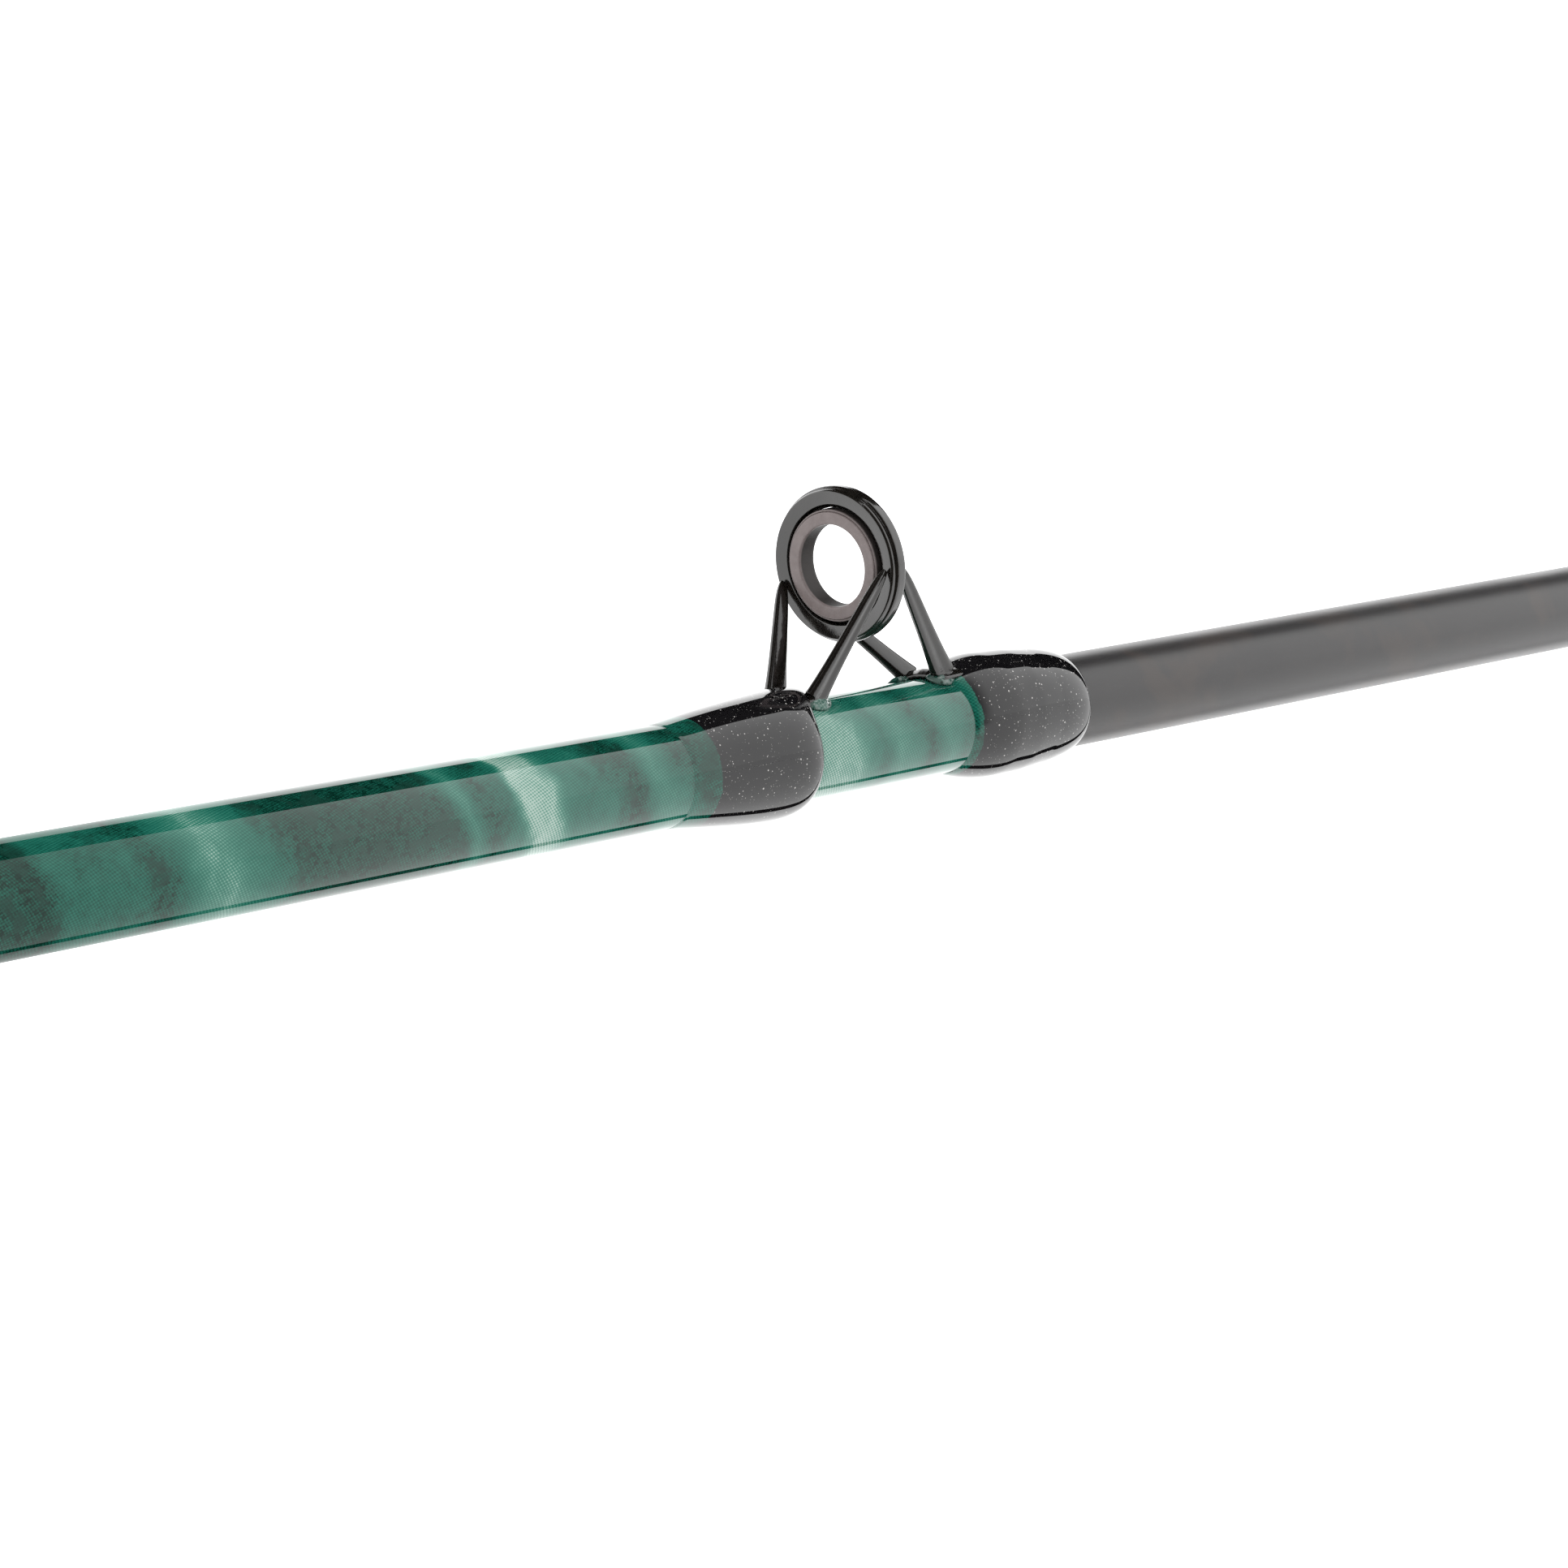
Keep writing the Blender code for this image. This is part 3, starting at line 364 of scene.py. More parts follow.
class Finish:
    """A procedural material: its Principled shader, and the nodes that drive it."""

    def __init__(self, name, **constants):
        self.material = bpy.data.materials.new(name)
        self.material.use_nodes = True
        self.tree = self.material.node_tree
        self.shader = self.tree.nodes["Principled BSDF"]
        for socket, value in constants.items():
            self.set(socket.replace("_", " "), value)

    def node(self, kind, settings=None, sockets=None, output=0):
        """Adds a node, with its settings first and then its sockets' values or links."""
        made = self.tree.nodes.new(kind)
        for setting, value in (settings or {}).items():
            if setting == "stops":
                self.stops(made.color_ramp, value)
            else:
                setattr(made, setting, value)
        for key, value in (sockets or {}).items():
            self.feed(made.inputs[key], value)
        return Value(self, made.outputs[output])

    def stops(self, ramp, stops):
        """Sets a ramp's stops from (position, colour or grey)."""
        while len(ramp.elements) < len(stops):
            ramp.elements.new(0.5)
        for element, (position, colour) in zip(ramp.elements, stops):
            element.position = position
            element.color = rgba(colour)

    def feed(self, socket, value):
        if isinstance(value, Value):
            self.tree.links.new(value.socket, socket)
        elif socket.type == "RGBA":
            socket.default_value = rgba(value)
        else:
            socket.default_value = value

    def set(self, socket, value):
        self.feed(self.shader.inputs[socket], value)

    def place(self):
        """Object coordinates, which are the frame's own, in metres."""
        return self.node("ShaderNodeTexCoord", output=3)

    def split(self, vector):
        """The vector's x, y and z."""
        made = self.node("ShaderNodeSeparateXYZ", sockets={0: vector})
        return made, *(Value(self, made.socket.node.outputs[i]) for i in (1, 2))

    def stretch(self, vector, scale):
        return self.node("ShaderNodeVectorMath", {"operation": "MULTIPLY"}, {0: vector, 1: scale})

    def noise(self, vector, scale, detail=2.0, roughness=0.5, distortion=0.0):
        sockets = {"Vector": vector, "Scale": scale, "Detail": detail, "Roughness": roughness}
        return self.node("ShaderNodeTexNoise", sockets={**sockets, "Distortion": distortion})

    def mask(self, value, low, high):
        """0 below low and 1 above high, with a smooth step between, or the reverse if low is higher."""
        sockets = {0: value, 1: low, 2: high}
        return self.node("ShaderNodeMapRange", {"interpolation_type": "SMOOTHSTEP"}, sockets)

    def mix(self, share, first, second):
        """Colour that goes from first to second as the share goes from 0 to 1."""
        return self.node("ShaderNodeMix", {"data_type": "RGBA"}, {0: share, 6: first, 7: second}, 2)

    def bump(self, height, distance, strength=1.0):
        sockets = {"Height": height, "Distance": distance, "Strength": strength}
        self.set("Normal", self.node("ShaderNodeBump", sockets=sockets))

    def dots(self, vector, spacing, size, share):
        """1 inside small round dots that fill about this share of the cells of the spacing."""
        near = self.node(
            "ShaderNodeTexVoronoi", {"feature": "F1"}, {"Vector": vector, "Scale": 1 / spacing}
        )
        cell = Value(self, near.socket.node.outputs["Color"])
        chosen, other, _ = self.split(cell)
        radius = other * size + size * 0.4
        return self.mask(near - radius, 0.03, -0.03) * self.mask(chosen, share + 0.01, share)


def rgba(colour):
    """Four channels from a grey or from three."""
    if isinstance(colour, (int, float)):
        return (colour, colour, colour, 1.0)
    return (*tuple(colour)[:3], 1.0)


# Tone of the marbled cloth: lightness at places in millimetres from the ring, for one repeat
CLOTH_REPEAT_MM = 215.0
CLOTH_START_MM = -155.0
CLOTH_TONES = tuple(
    ((place - CLOTH_START_MM) / CLOTH_REPEAT_MM, tone)
    for place, tone in (
        (-155, 0.12), (-154, 0.26), (-152, 0.44), (-140, 0.40), (-137, 0.20), (-133, 0.46),
        (-125, 0.82), (-121, 0.60), (-117, 0.42), (-113, 0.20), (-102, 0.12), (-86, 0.22),
        (-83, 0.64), (-79, 0.26), (-74.5, 0.46), (-72.5, 0.98), (-68, 0.90), (-65, 0.50),
        (-59, 0.44), (-53, 0.16), (-47, 0.66), (-40, 0.20), (-30, 0.50), (-15, 0.88), (-8, 0.84),
        (-2.5, 0.40), (1, 0.68), (7, 0.32), (11, 0.62), (17, 0.32), (22, 0.52), (60, 0.12),
    )
)


def cloth(finish):
    """(colour, height) of the marbled green twill, from the place on the rod."""
    place = finish.place()
    x, y, z = finish.split(place)
    x_mm = (x - RING_X) * 1000
    round_mm = y.math("ARCTAN2", z) * ROD_R_MM
    drift = finish.noise(place, 90, 3, 0.55)
    along = x_mm + z * 420 + (drift - 0.5) * 9
    share = ((along - CLOTH_START_MM) * (1 / CLOTH_REPEAT_MM)).math("FRACT")
    tone = finish.node("ShaderNodeValToRGB", {"stops": CLOTH_TONES}, {0: share})
    cloud = finish.noise(finish.stretch(place, (1.0, 1.6, 0.55)), 210, 3, 0.6, 0.6)
    speckle = finish.noise(place, 2600, 2, 0.7)
    tone = tone + (cloud - 0.5) * 0.34
    dull = finish.mask(tone, 0.50, 0.22)
    blot = finish.mask(finish.noise(finish.stretch(place, (0.8, 1, 1)), 1150, 2, 0.6), 0.52, 0.64)
    tone = tone + (speckle - 0.5) * (0.16 + dull * 0.45) - blot * dull * 0.24
    warp = (finish.noise(place, 700, 1) - 0.5) * 0.16
    twill = (x_mm * 0.80 + round_mm * 0.62 + warp).wave(0.42)
    cross = (x_mm * 0.30 - round_mm + warp).wave(0.40)
    weave = twill * 0.5 + cross * 0.5
    tone = tone + (weave - 0.5) * 0.36
    colour = finish.node("ShaderNodeValToRGB", {"stops": CLOTH_COLOURS}, {0: tone})
    grey = finish.mask(finish.noise(place, 330, 2, 0.6), 0.50, 0.60) * dull
    colour = finish.mix(grey * 0.75, colour, SMUDGE)
    return colour, weave


CLOTH_COLOURS = (
    (0.00, (0.001, 0.012, 0.008)),
    (0.22, (0.003, 0.034, 0.023)),
    (0.45, (0.005, 0.062, 0.044)),
    (0.64, (0.013, 0.086, 0.061)),
    (0.80, (0.034, 0.122, 0.091)),
    (0.92, (0.095, 0.185, 0.148)),
    (1.00, (0.200, 0.270, 0.235)),
)
SMUDGE = (0.0045, 0.0230, 0.0165)


def cloth_finish():
    """Marbled green twill under a clear gloss coat."""
    finish = Finish("marbled_twill_under_gloss", Roughness=0.6, Specular_IOR_Level=0.0)
    colour, weave = cloth(finish)
    finish.set("Base Color", colour)
    x, _, _ = finish.split(finish.place())
    thin, full = THIN_GLOSS_MM
    finish.set("Coat Weight", finish.mask((x - RING_X) * 1000, thin, full) * 0.58 + 0.42)
    finish.set("Coat IOR", GLOSS_IOR)
    finish.set("Coat Roughness", 0.03)
    finish.bump(weave, 0.000012, 0.35)
    return finish.material


def coat_finish(name, thread):
    """Clear epoxy over black thread, with the cloth showing before the thread starts. Thread is
    the (start, end) in millimetres from the ring; its end is not used, and the start wavers by a few tenths."""
    finish = Finish(name, Roughness=0.02, IOR=GLOSS_IOR)
    colour, _ = cloth(finish)
    place = finish.place()
    x, _, _ = finish.split(place)
    waver = (finish.noise(place, 420, 4, 0.75) - 0.5) * 1.3
    x_mm = (x - RING_X) * 1000 + waver
    wound = finish.mask(x_mm, thread[0] - 0.08, thread[0] + 0.08)
    dust = finish.dots(place, 0.00062, 0.16, 0.50)
    fine_dust = finish.dots(place, 0.00036, 0.17, 0.50)
    cloud = finish.noise(place, 260, 2, 0.5)
    black = finish.mix(cloud, (0.0016, 0.0015, 0.0018), (0.0060, 0.0056, 0.0062))
    flecks = (dust * 0.9).math("MAXIMUM", fine_dust * 0.38) * finish.mask(cloud, 0.25, 0.50)
    black = finish.mix(flecks, black, (0.30, 0.29, 0.28))
    finish.set("Base Color", finish.mix(wound, colour, black))
    ripple = finish.noise(finish.stretch(place, (0.35, 1.0, 1.0)), 240, 1, 0.4)
    finish.bump(ripple, 0.000125, 0.4)
    return finish.material


def fillet_finish():
    """Clear epoxy drawn up a leg's foot, an uneven glossy skin: the cloth under it is darkened as
    painted shade, with lighter grey-green patches of painted reflection.
    """
    finish = Finish("clear_epoxy_drop_with_painted_shade_and_reflection", Roughness=0.02, IOR=1.5)
    colour, _ = cloth(finish)
    place = finish.place()
    # Painted shade and painted reflection: the cloth under the drop is darkened, and noise patches turn it a
    # lighter grey-green.
    cloud = finish.mask(finish.noise(place, 520, 2, 0.6), 0.42, 0.60)
    dim = finish.mix(0.55, colour, (0.006, 0.016, 0.013))
    finish.set("Base Color", finish.mix(cloud, dim, (0.05, 0.075, 0.066)))
    finish.bump(finish.noise(place, 700, 1, 0.4), 0.0009, 1.0)
    return finish.material


def composite_finish():
    """Satin charcoal composite, ground smooth, with faint cloudy colour and fine grain."""
    finish = Finish("satin_charcoal_composite", IOR=1.45, Specular_IOR_Level=0.40)
    place = finish.place()
    cloud = finish.noise(finish.stretch(place, (0.5, 1, 1)), 130, 4, 0.6)
    grain = finish.noise(place, 5200, 2, 0.7)
    warm = finish.mask(finish.noise(place, 70, 3, 0.6, 0.4), 0.50, 0.66)
    colour = finish.mix(cloud, (0.012, 0.0115, 0.012), (0.026, 0.0245, 0.0245))
    colour = finish.mix(warm * 0.5, colour, (0.034, 0.026, 0.022))
    colour = finish.mix(finish.mask(grain, 0.62, 0.78) * 0.35, colour, (0.070, 0.066, 0.064))
    finish.set("Base Color", colour)
    finish.set("Roughness", 0.27 + cloud * 0.12)
    finish.bump(grain, 0.000008, 0.6)
    return finish.material


def thread_finish():
    """Black thread wound close, turn beside turn, filled with clear epoxy, with painted highlights on the
    turns.
    """
    finish = Finish("black_thread_in_epoxy", Roughness=0.30, Coat_Weight=1.0, Coat_Roughness=0.04)
    place = finish.place()
    x, _, _ = finish.split(place)
    turns = ((x - RING_X) * 1000).wave(0.26)
    sheen = finish.noise(place, 900, 2)
    # Painted highlight and shade: each turn's crest is lighter and the gap between turns darker, with a
    # painted sheen in random patches.
    lit = turns * 0.7 + sheen * 0.2
    finish.set("Base Color", finish.mix(lit, (0.0025, 0.0024, 0.0026), (0.014, 0.013, 0.014)))
    finish.bump(turns, 0.00003, 0.6)
    return finish.material


def guide_finish(name, sheen):
    """Glossy black coated steel, a little brown and uneven. Sheen is its index of refraction."""
    finish = Finish(name, IOR=sheen)
    place = finish.place()
    cloud = finish.noise(place, 420, 3, 0.6)
    pits = finish.noise(place, 2400, 2, 0.6)
    colour = finish.mix(cloud, (0.0015, 0.0015, 0.0018), (0.0085, 0.0068, 0.0052))
    finish.set("Base Color", colour)
    finish.set("Roughness", 0.05 + cloud * 0.16)
    blotch = finish.noise(place, 190, 2, 0.5)
    finish.bump(pits * 0.25 + blotch * 2.4 + cloud * 0.5, 0.00006, 0.75)
    return finish.material


def ceramic_finish():
    """Polished taupe ceramic with a faint mottle, and painted shade that darkens its bore."""
    finish = Finish("taupe_ceramic_ring_with_painted_bore_shade", IOR=1.5, Specular_IOR_Level=0.28)
    place = finish.place()
    # Painted shade: points behind the ring's front face, down the bore, take a darker brown colour.
    depth = finish.node("ShaderNodeAttribute", {"attribute_name": "depth"}, output=2)
    bore = finish.mask(depth, -0.12, 0.20)
    mottle = finish.noise(place, 800, 3, 0.6)
    fine = finish.noise(place, 4200, 2, 0.6)
    colour = finish.mix(mottle, (0.082, 0.066, 0.064), (0.140, 0.118, 0.116))
    colour = finish.mix(finish.mask(fine, 0.60, 0.75) * 0.4, colour, (0.17, 0.15, 0.145))
    brown = finish.mix(mottle, (0.010, 0.008, 0.0075), (0.026, 0.021, 0.019))
    finish.set("Base Color", finish.mix(bore, colour, brown))
    finish.set("Roughness", 0.24 + mottle * 0.14 + bore * 0.25)
    finish.bump(fine, 0.000006, 0.5)
    return finish.material


def foam_finish():
    """Black closed-cell foam, ground smooth, with open cells darkened by painted shade."""
    finish = Finish("black_cell_foam", Specular_IOR_Level=0.3)
    place = finish.place()
    cells = finish.node("ShaderNodeTexVoronoi", {"feature": "F1"}, {"Vector": place, "Scale": 1900.0})
    cloud = finish.noise(place, 60, 4, 0.6)
    # Painted shade: the open cells are darker than the ground surface round them.
    pits = finish.mask(cells, 0.15, 0.45)
    colour = finish.mix(pits, (0.006, 0.006, 0.0065), (0.021, 0.021, 0.022))
    colour = finish.mix(finish.mask(cloud, 0.45, 0.70) * 0.35, colour, (0.030, 0.030, 0.031))
    finish.set("Base Color", colour)
    finish.set("Roughness", 0.70 + cloud * 0.22)
    finish.bump(pits, 0.00006, 0.8)
    return finish.material


def rubber_finish():
    """Moulded black rubber with a fine spark-eroded grain."""
    finish = Finish("moulded_black_rubber", Specular_IOR_Level=0.35)
    place = finish.place()
    grain = finish.noise(place, 3000, 2, 0.6)
    scuff = finish.mask(finish.noise(finish.stretch(place, (3, 1, 1)), 120, 4, 0.65), 0.55, 0.72)
    finish.set("Base Color", finish.mix(scuff * 0.6, (0.010, 0.010, 0.0105), (0.028, 0.027, 0.027)))
    finish.set("Roughness", 0.52 + grain * 0.22)
    finish.bump(grain, 0.00003, 0.7)
    return finish.material


def resin_finish():
    """Graphite-filled moulded resin: dark, slightly silky, with flow marks along the seat."""
    finish = Finish("graphite_filled_resin")
    place = finish.place()
    flow = finish.noise(finish.stretch(place, (0.25, 1, 1)), 900, 3, 0.6)
    fibre = finish.noise(finish.stretch(place, (0.12, 1, 1)), 4200, 2, 0.6)
    finish.set("Base Color", finish.mix(flow, (0.014, 0.0145, 0.015), (0.036, 0.037, 0.038)))
    finish.set("Roughness", 0.26 + flow * 0.16)
    finish.bump(fibre, 0.00001, 0.6)
    return finish.material


def steel_finish():
    """Polished stainless steel with fine lines round the rod."""
    finish = Finish("polished_stainless_steel", Metallic=1.0)
    place = finish.place()
    lines = finish.noise(finish.stretch(place, (9, 0.4, 0.4)), 900, 3, 0.7)
    cloud = finish.noise(place, 160, 3, 0.6)
    finish.set("Base Color", finish.mix(lines, (0.30, 0.305, 0.31), (0.46, 0.465, 0.47)))
    finish.set("Roughness", 0.14 + cloud * 0.16)
    finish.bump(lines, 0.000006, 0.5)
    return finish.material


def anodised_finish():
    """Deep green anodised aluminium with turning marks."""
    finish = Finish("green_anodised_aluminium", Metallic=1.0)
    place = finish.place()
    marks = finish.noise(finish.stretch(place, (12, 0.2, 0.2)), 700, 3, 0.7)
    tint = finish.noise(place, 110, 2, 0.5)
    share = marks * 0.6 + tint * 0.4
    finish.set("Base Color", finish.mix(share, (0.010, 0.075, 0.056), (0.030, 0.155, 0.115)))
    finish.set("Roughness", 0.20 + marks * 0.14)
    finish.bump(marks, 0.000008, 0.5)
    return finish.material


def arbor_finish():
    """Rigid tan foam with visible cells, each darker towards its middle as painted shade."""
    finish = Finish("rigid_tan_foam", Specular_IOR_Level=0.2)
    place = finish.place()
    cells = finish.node("ShaderNodeTexVoronoi", {"feature": "F1"}, {"Vector": place, "Scale": 1400.0})
    # Painted shade: each cell's colour darkens towards its middle.
    finish.set("Base Color", finish.mix(cells, (0.10, 0.080, 0.052), (0.24, 0.20, 0.14)))
    finish.set("Roughness", 0.80 + cells * 0.15)
    finish.bump(cells, 0.00008, 0.8)
    return finish.material


# ---------------------------------------------------------------- handle and blanks


def shell(node, finish, corner, sides=ROUND, step=None, relief=None):
    """Turned ring with the CAD node's outline, softer corners and its own relief. The bore is
    straight."""
    stations, radii = outline(node)
    bore = bore_radius(node)
    inside = [(stations[-1], bore), (stations[0], bore)]
    profile = np.concatenate([np.stack([stations, radii], axis=1), inside])
    profile = rounded(profile, corner)
    if step is not None:
        profile = evenly(profile, step)
    mesh = skin(node, turned(profile, sides, relief), closed_rows=True)
    return present(f"{node}_surface", mesh, finish, [node])


def blanks(finish):
    """Butt and tip blanks, each a hollow turned tube with softly rounded ends."""
    shell("butt_section_blank", finish, 0.3 * MM, ROUND)
    stations, radii = TIP
    bore = rod_radius(stations[0] - MM) + 0.08 * MM
    wall = 0.8 * MM
    inner = [(stations[-1], radii[-1] - wall * 0.9), (stations[2], radii[2] - 1.3 * MM)]
    inner += [(stations[1], radii[2] - 1.3 * MM), (stations[1], bore - 0.05 * MM), (stations[0], bore)]
    profile = rounded(np.concatenate([np.stack(TIP, axis=1), inner]), 0.3 * MM)
    mesh = skin("tip_blank", turned(profile), closed_rows=True)
    present("tip_section_blank_surface", mesh, finish, ["tip_section_blank"], sharp=40)


def ring_grooves(centres, width, depth):
    """Relief of round grooves: depth times a bell curve of the distance from each centre."""

    def relief(x, radius, angle):
        near = sum(np.exp(-(((x - centre) / width) ** 2)) for centre in centres)
        return -depth * near * (radius > radius.max() * 0.8) + 0 * angle

    return relief


def handle(finishes):
    """Cap, grips, trim rings, winding check, seat, nut and hoods."""
    low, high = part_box("butt_cap")
    cap = high.z
    floor, bore = low.x + 12.2 * MM, rod_radius(0.02) + GAP_MM * MM
    profile = [(0, 0), (0, cap * 0.55), (0.35 * MM, cap * 0.80), (2.2 * MM, cap * 0.985), (5 * MM, cap)]
    profile += [(high.x - 3.4 * MM, cap), (high.x - 1.0 * MM, cap - 0.4 * MM), (high.x, cap - 1.3 * MM)]
    profile += [(high.x, bore), (floor, bore), (floor, 0)]
    smooth = evenly(rounded(profile, 1.6 * MM, 6, closed=False), 0.30 * MM, closed=False)
    grooves = ring_grooves([(11 + 4.2 * i) * MM for i in range(4)], 0.55 * MM, 0.45 * MM)
    mesh = skin("butt_cap", turned(smooth, ROUND, grooves))
    present("butt_cap_surface", mesh, finishes["rubber"], ["butt_cap"])

    def unevenness(x, radius, angle):
        """Slight waviness of ground foam."""
        wave = np.sin(x * 310 + 1.3) * np.sin(2 * angle + x * 45) + 0.6 * np.sin(x * 830 + 3 * angle)
        return 0.03 * MM * wave * (radius > radius.max() * 0.75)

    for node in ("rear_grip", "foregrip"):
        shell(node, finishes["foam"], 1.1 * MM, ROUND, 1.5 * MM, unevenness)
    for node in ("rear_trim_ring", "front_trim_ring"):
        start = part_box(node)[0].x
        lines = ring_grooves([start + 1.5 * MM, start + 3.5 * MM], 0.22 * MM, 0.3 * MM)
        shell(node, finishes["anodised"], 0.5 * MM, FINE_ROUND, 0.15 * MM, lines)
    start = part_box("winding_check")[0].x
    lines = ring_grooves([start + 1.7 * MM], 0.2 * MM, 0.25 * MM)
    shell("winding_check", finishes["anodised"], 0.5 * MM, FINE_ROUND, 0.15 * MM, lines)
    seat(finishes)
    nut(finishes)
    hoods(finishes)
    for node in ("rear_seat_arbor", "front_seat_arbor"):
        dress(node, finishes["arbor"])


def seat(finishes):
    """Seat tube: a turned ring whose rear part has a rolled screw thread, a spiral whose depth
    follows the sine of (x / pitch - angle / turn), cut flat on top between the hoods."""
    low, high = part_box("reel_seat_body")
    radius, bore = high.y, high.y - 2.0 * MM
    profile = rounded([(low.x, radius), (high.x, radius), (high.x, bore), (low.x, bore)], 0.5 * MM)
    profile = evenly(profile, 0.36 * MM)
    pitch, depth = 2.0 * MM, 0.32 * MM
    first, last = low.x + 2.0 * MM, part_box("sliding_hood")[1].x + 10 * MM

    def thread(x, r, angle):
        ends = np.clip((x - first) / (2 * MM), 0, 1) * np.clip((last - x) / (2 * MM), 0, 1)
        wave = 0.5 - 0.5 * np.cos(math.tau * (x / pitch - angle / math.tau))
        return -depth * wave**0.7 * ends * (r > radius * 0.97)

    points = turned(profile, SEAT_ROUND, thread)
    flat = float(frame["record"]["mounts"][1]["pos_m"][2])
    from_x, to_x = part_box("sliding_hood")[1].x - 12 * MM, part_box("fixed_hood")[0].x + 12 * MM
    on_flat = (points[..., 0] > from_x) & (points[..., 0] < to_x)
    points[..., 2] = np.where(on_flat, np.minimum(points[..., 2], flat), points[..., 2])
    mesh = skin("seat", points, closed_rows=True)
    present("reel_seat_body_surface", mesh, finishes["resin"], ["reel_seat_body"], sharp=50)


def nut(finishes):
    """Lock nut: a ring with a waist and scallops, its radius lowered by the eighth power of the
    cosine of twelve angles."""
    low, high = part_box("lock_nut")
    outer, bore = high.z, bore_radius("lock_nut")
    middle, half = (low.x + high.x) / 2, (high.x - low.x) / 2
    profile = rounded([(low.x, outer), (high.x, outer), (high.x, bore), (low.x, bore)], 1.1 * MM, 6)

    def scallops(x, r, angle):
        along = np.clip((x - middle) / half, -1, 1)
        waist = 0.18 * MM * np.cos(along * math.pi / 2) ** 2
        groove = 0.42 * MM * np.cos(12 * angle) ** 8 * (np.abs(along) < 0.80)
        return -(waist + groove) * (r > bore + 1.2 * MM)

    mesh = skin("nut", turned(evenly(profile, 0.26 * MM), 240, scallops), closed_rows=True)
    present("lock_nut_surface", mesh, finishes["anodised"], ["lock_nut"], sharp=45)


HOOD_LIP = 0.6 * MM  # how far the dome stands past the ring at the mouth
HOOD_DOME_R = 10.5 * MM


def hoods(finishes):
    """Both hoods: a ring and a long dome for the reel's foot, joined, then bored through and
    hollowed from the mouth."""
    for node, facing in (("sliding_hood", 1), ("fixed_hood", -1)):
        low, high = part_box(node)
        radius, bore = -low.z, bore_radius(node)
        mouth = (high.x if facing > 0 else low.x) - facing * HOOD_LIP
        length = high.x - low.x - HOOD_LIP
        dome_z, dome_r = high.z - HOOD_DOME_R, HOOD_DOME_R
        ring = [(0, 0), (0, radius), (-length, radius), (-length, 0)]
        dome = [(0.55 * MM, 0), (0.55 * MM, dome_r), (-0.50 * length, dome_r - 0.2 * MM)]
        dome += [(-0.74 * length, dome_r - 2 * MM), (-0.90 * length, dome_r - 5.2 * MM), (-0.95 * length, 0)]
        pocket = [(3 * MM, 0), (3 * MM, 9 * MM), (-10.5 * MM, 8.0 * MM), (-12 * MM, 6.0 * MM), (-12 * MM, 0)]
        through = [(9 * MM, 0), (9 * MM, bore), (-length - 9 * MM, bore), (-length - 9 * MM, 0)]

        def solid(name, profile, corner, z):
            soft = rounded(profile, corner, 5, closed=False)
            soft[:, 0] = mouth + facing * soft[:, 0]
            mesh = skin(name, turned(soft, ROUND))
            mesh.transform(Matrix.Translation((0, 0, z)))
            return mesh

        steps = []
        helpers = []
        for name, profile, corner, z, operation in (
            ("dome", dome, 2.4 * MM, dome_z, "UNION"),
            ("through", through, 0, 0, "DIFFERENCE"),
            ("pocket", pocket, 1.0 * MM, dome_z, "DIFFERENCE"),
        ):
            helper = placed(f"{node}_{name}", solid(name, profile, corner, z))
            helpers.append(helper)
            steps.append(("BOOLEAN", {"operation": operation, "solver": "EXACT", "object": helper}))
        steps.append(("BEVEL", {"width": 0.12 * MM, "segments": 2, "limit_method": "ANGLE"}))
        made = evaluated(solid(node, ring, 0.7 * MM, 0), steps)
        for helper in helpers:
            bpy.data.objects.remove(helper)
        present(f"{node}_surface", made, finishes["steel"], [node], sharp=32)


def keeper(finishes):
    """Hook keeper: a smooth wire loop on the plate's lug."""
    low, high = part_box("hook_keeper_loop")
    wire = (high.z - low.z) / 2
    middle = (low + high) / 2
    half_x, half_y = (high.x - low.x) / 2 - wire, (high.y - low.y) / 2 - wire
    corner = 1.6 * MM
    outline_points = [(-half_x, -half_y), (half_x, -half_y), (half_x, half_y), (-half_x, half_y)]
    ring = evenly(rounded(outline_points, corner, 12), 0.25 * MM)
    ahead = np.roll(ring, -1, axis=0) - np.roll(ring, 1, axis=0)
    ahead /= np.linalg.norm(ahead, axis=1, keepdims=True)
    out = np.stack([ahead[:, 1], -ahead[:, 0], np.zeros(len(ring))], axis=1)[:, None]
    centre = np.concatenate([ring, np.zeros((len(ring), 1))], axis=1)[:, None] + np.array(middle)
    u = angles(20)[None, :, None]
    points = centre + out * (wire * np.cos(u)) + np.array((0, 0, 1)) * (wire * np.sin(u))
    mesh = skin("keeper_loop", points, closed_rows=True)
    present("hook_keeper_loop_surface", mesh, finishes["steel"], ["hook_keeper_loop"])
    dress("hook_keeper_plate", finishes["steel"])


def wrap(node, finish, rise_mm, from_bottom=False):
    """Thread wrap: the rod's radius, plus the thread, plus a smooth rise over what it holds down,
    which is rise times a power of (1 + cos a) / 2. Its ends are rounded off."""
    low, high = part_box(node)
    x = np.linspace(low.x, high.x, 44)
    base = np.array([rod_radius(value) for value in x]) + GAP_MM * MM
    share = (x - low.x) / (high.x - low.x)
    swell = np.maximum(1 - np.abs(2 * share - 1) ** 14, 0) ** 0.5
    angle = angles(ROUND)[None, :]
    facing = -np.cos(angle) if from_bottom else np.cos(angle)
    lift = (THREAD_MM + rise_mm * ((1 + facing) / 2) ** 1.3) * MM
    radius = base[:, None] + lift * swell[:, None]
    mesh = jacket(node, x[:, None], radius, base[:, None] - 0.1 * MM, angle)
    present(f"{node}_surface", mesh, finish, [node])


# ---------------------------------------------------------------- guides


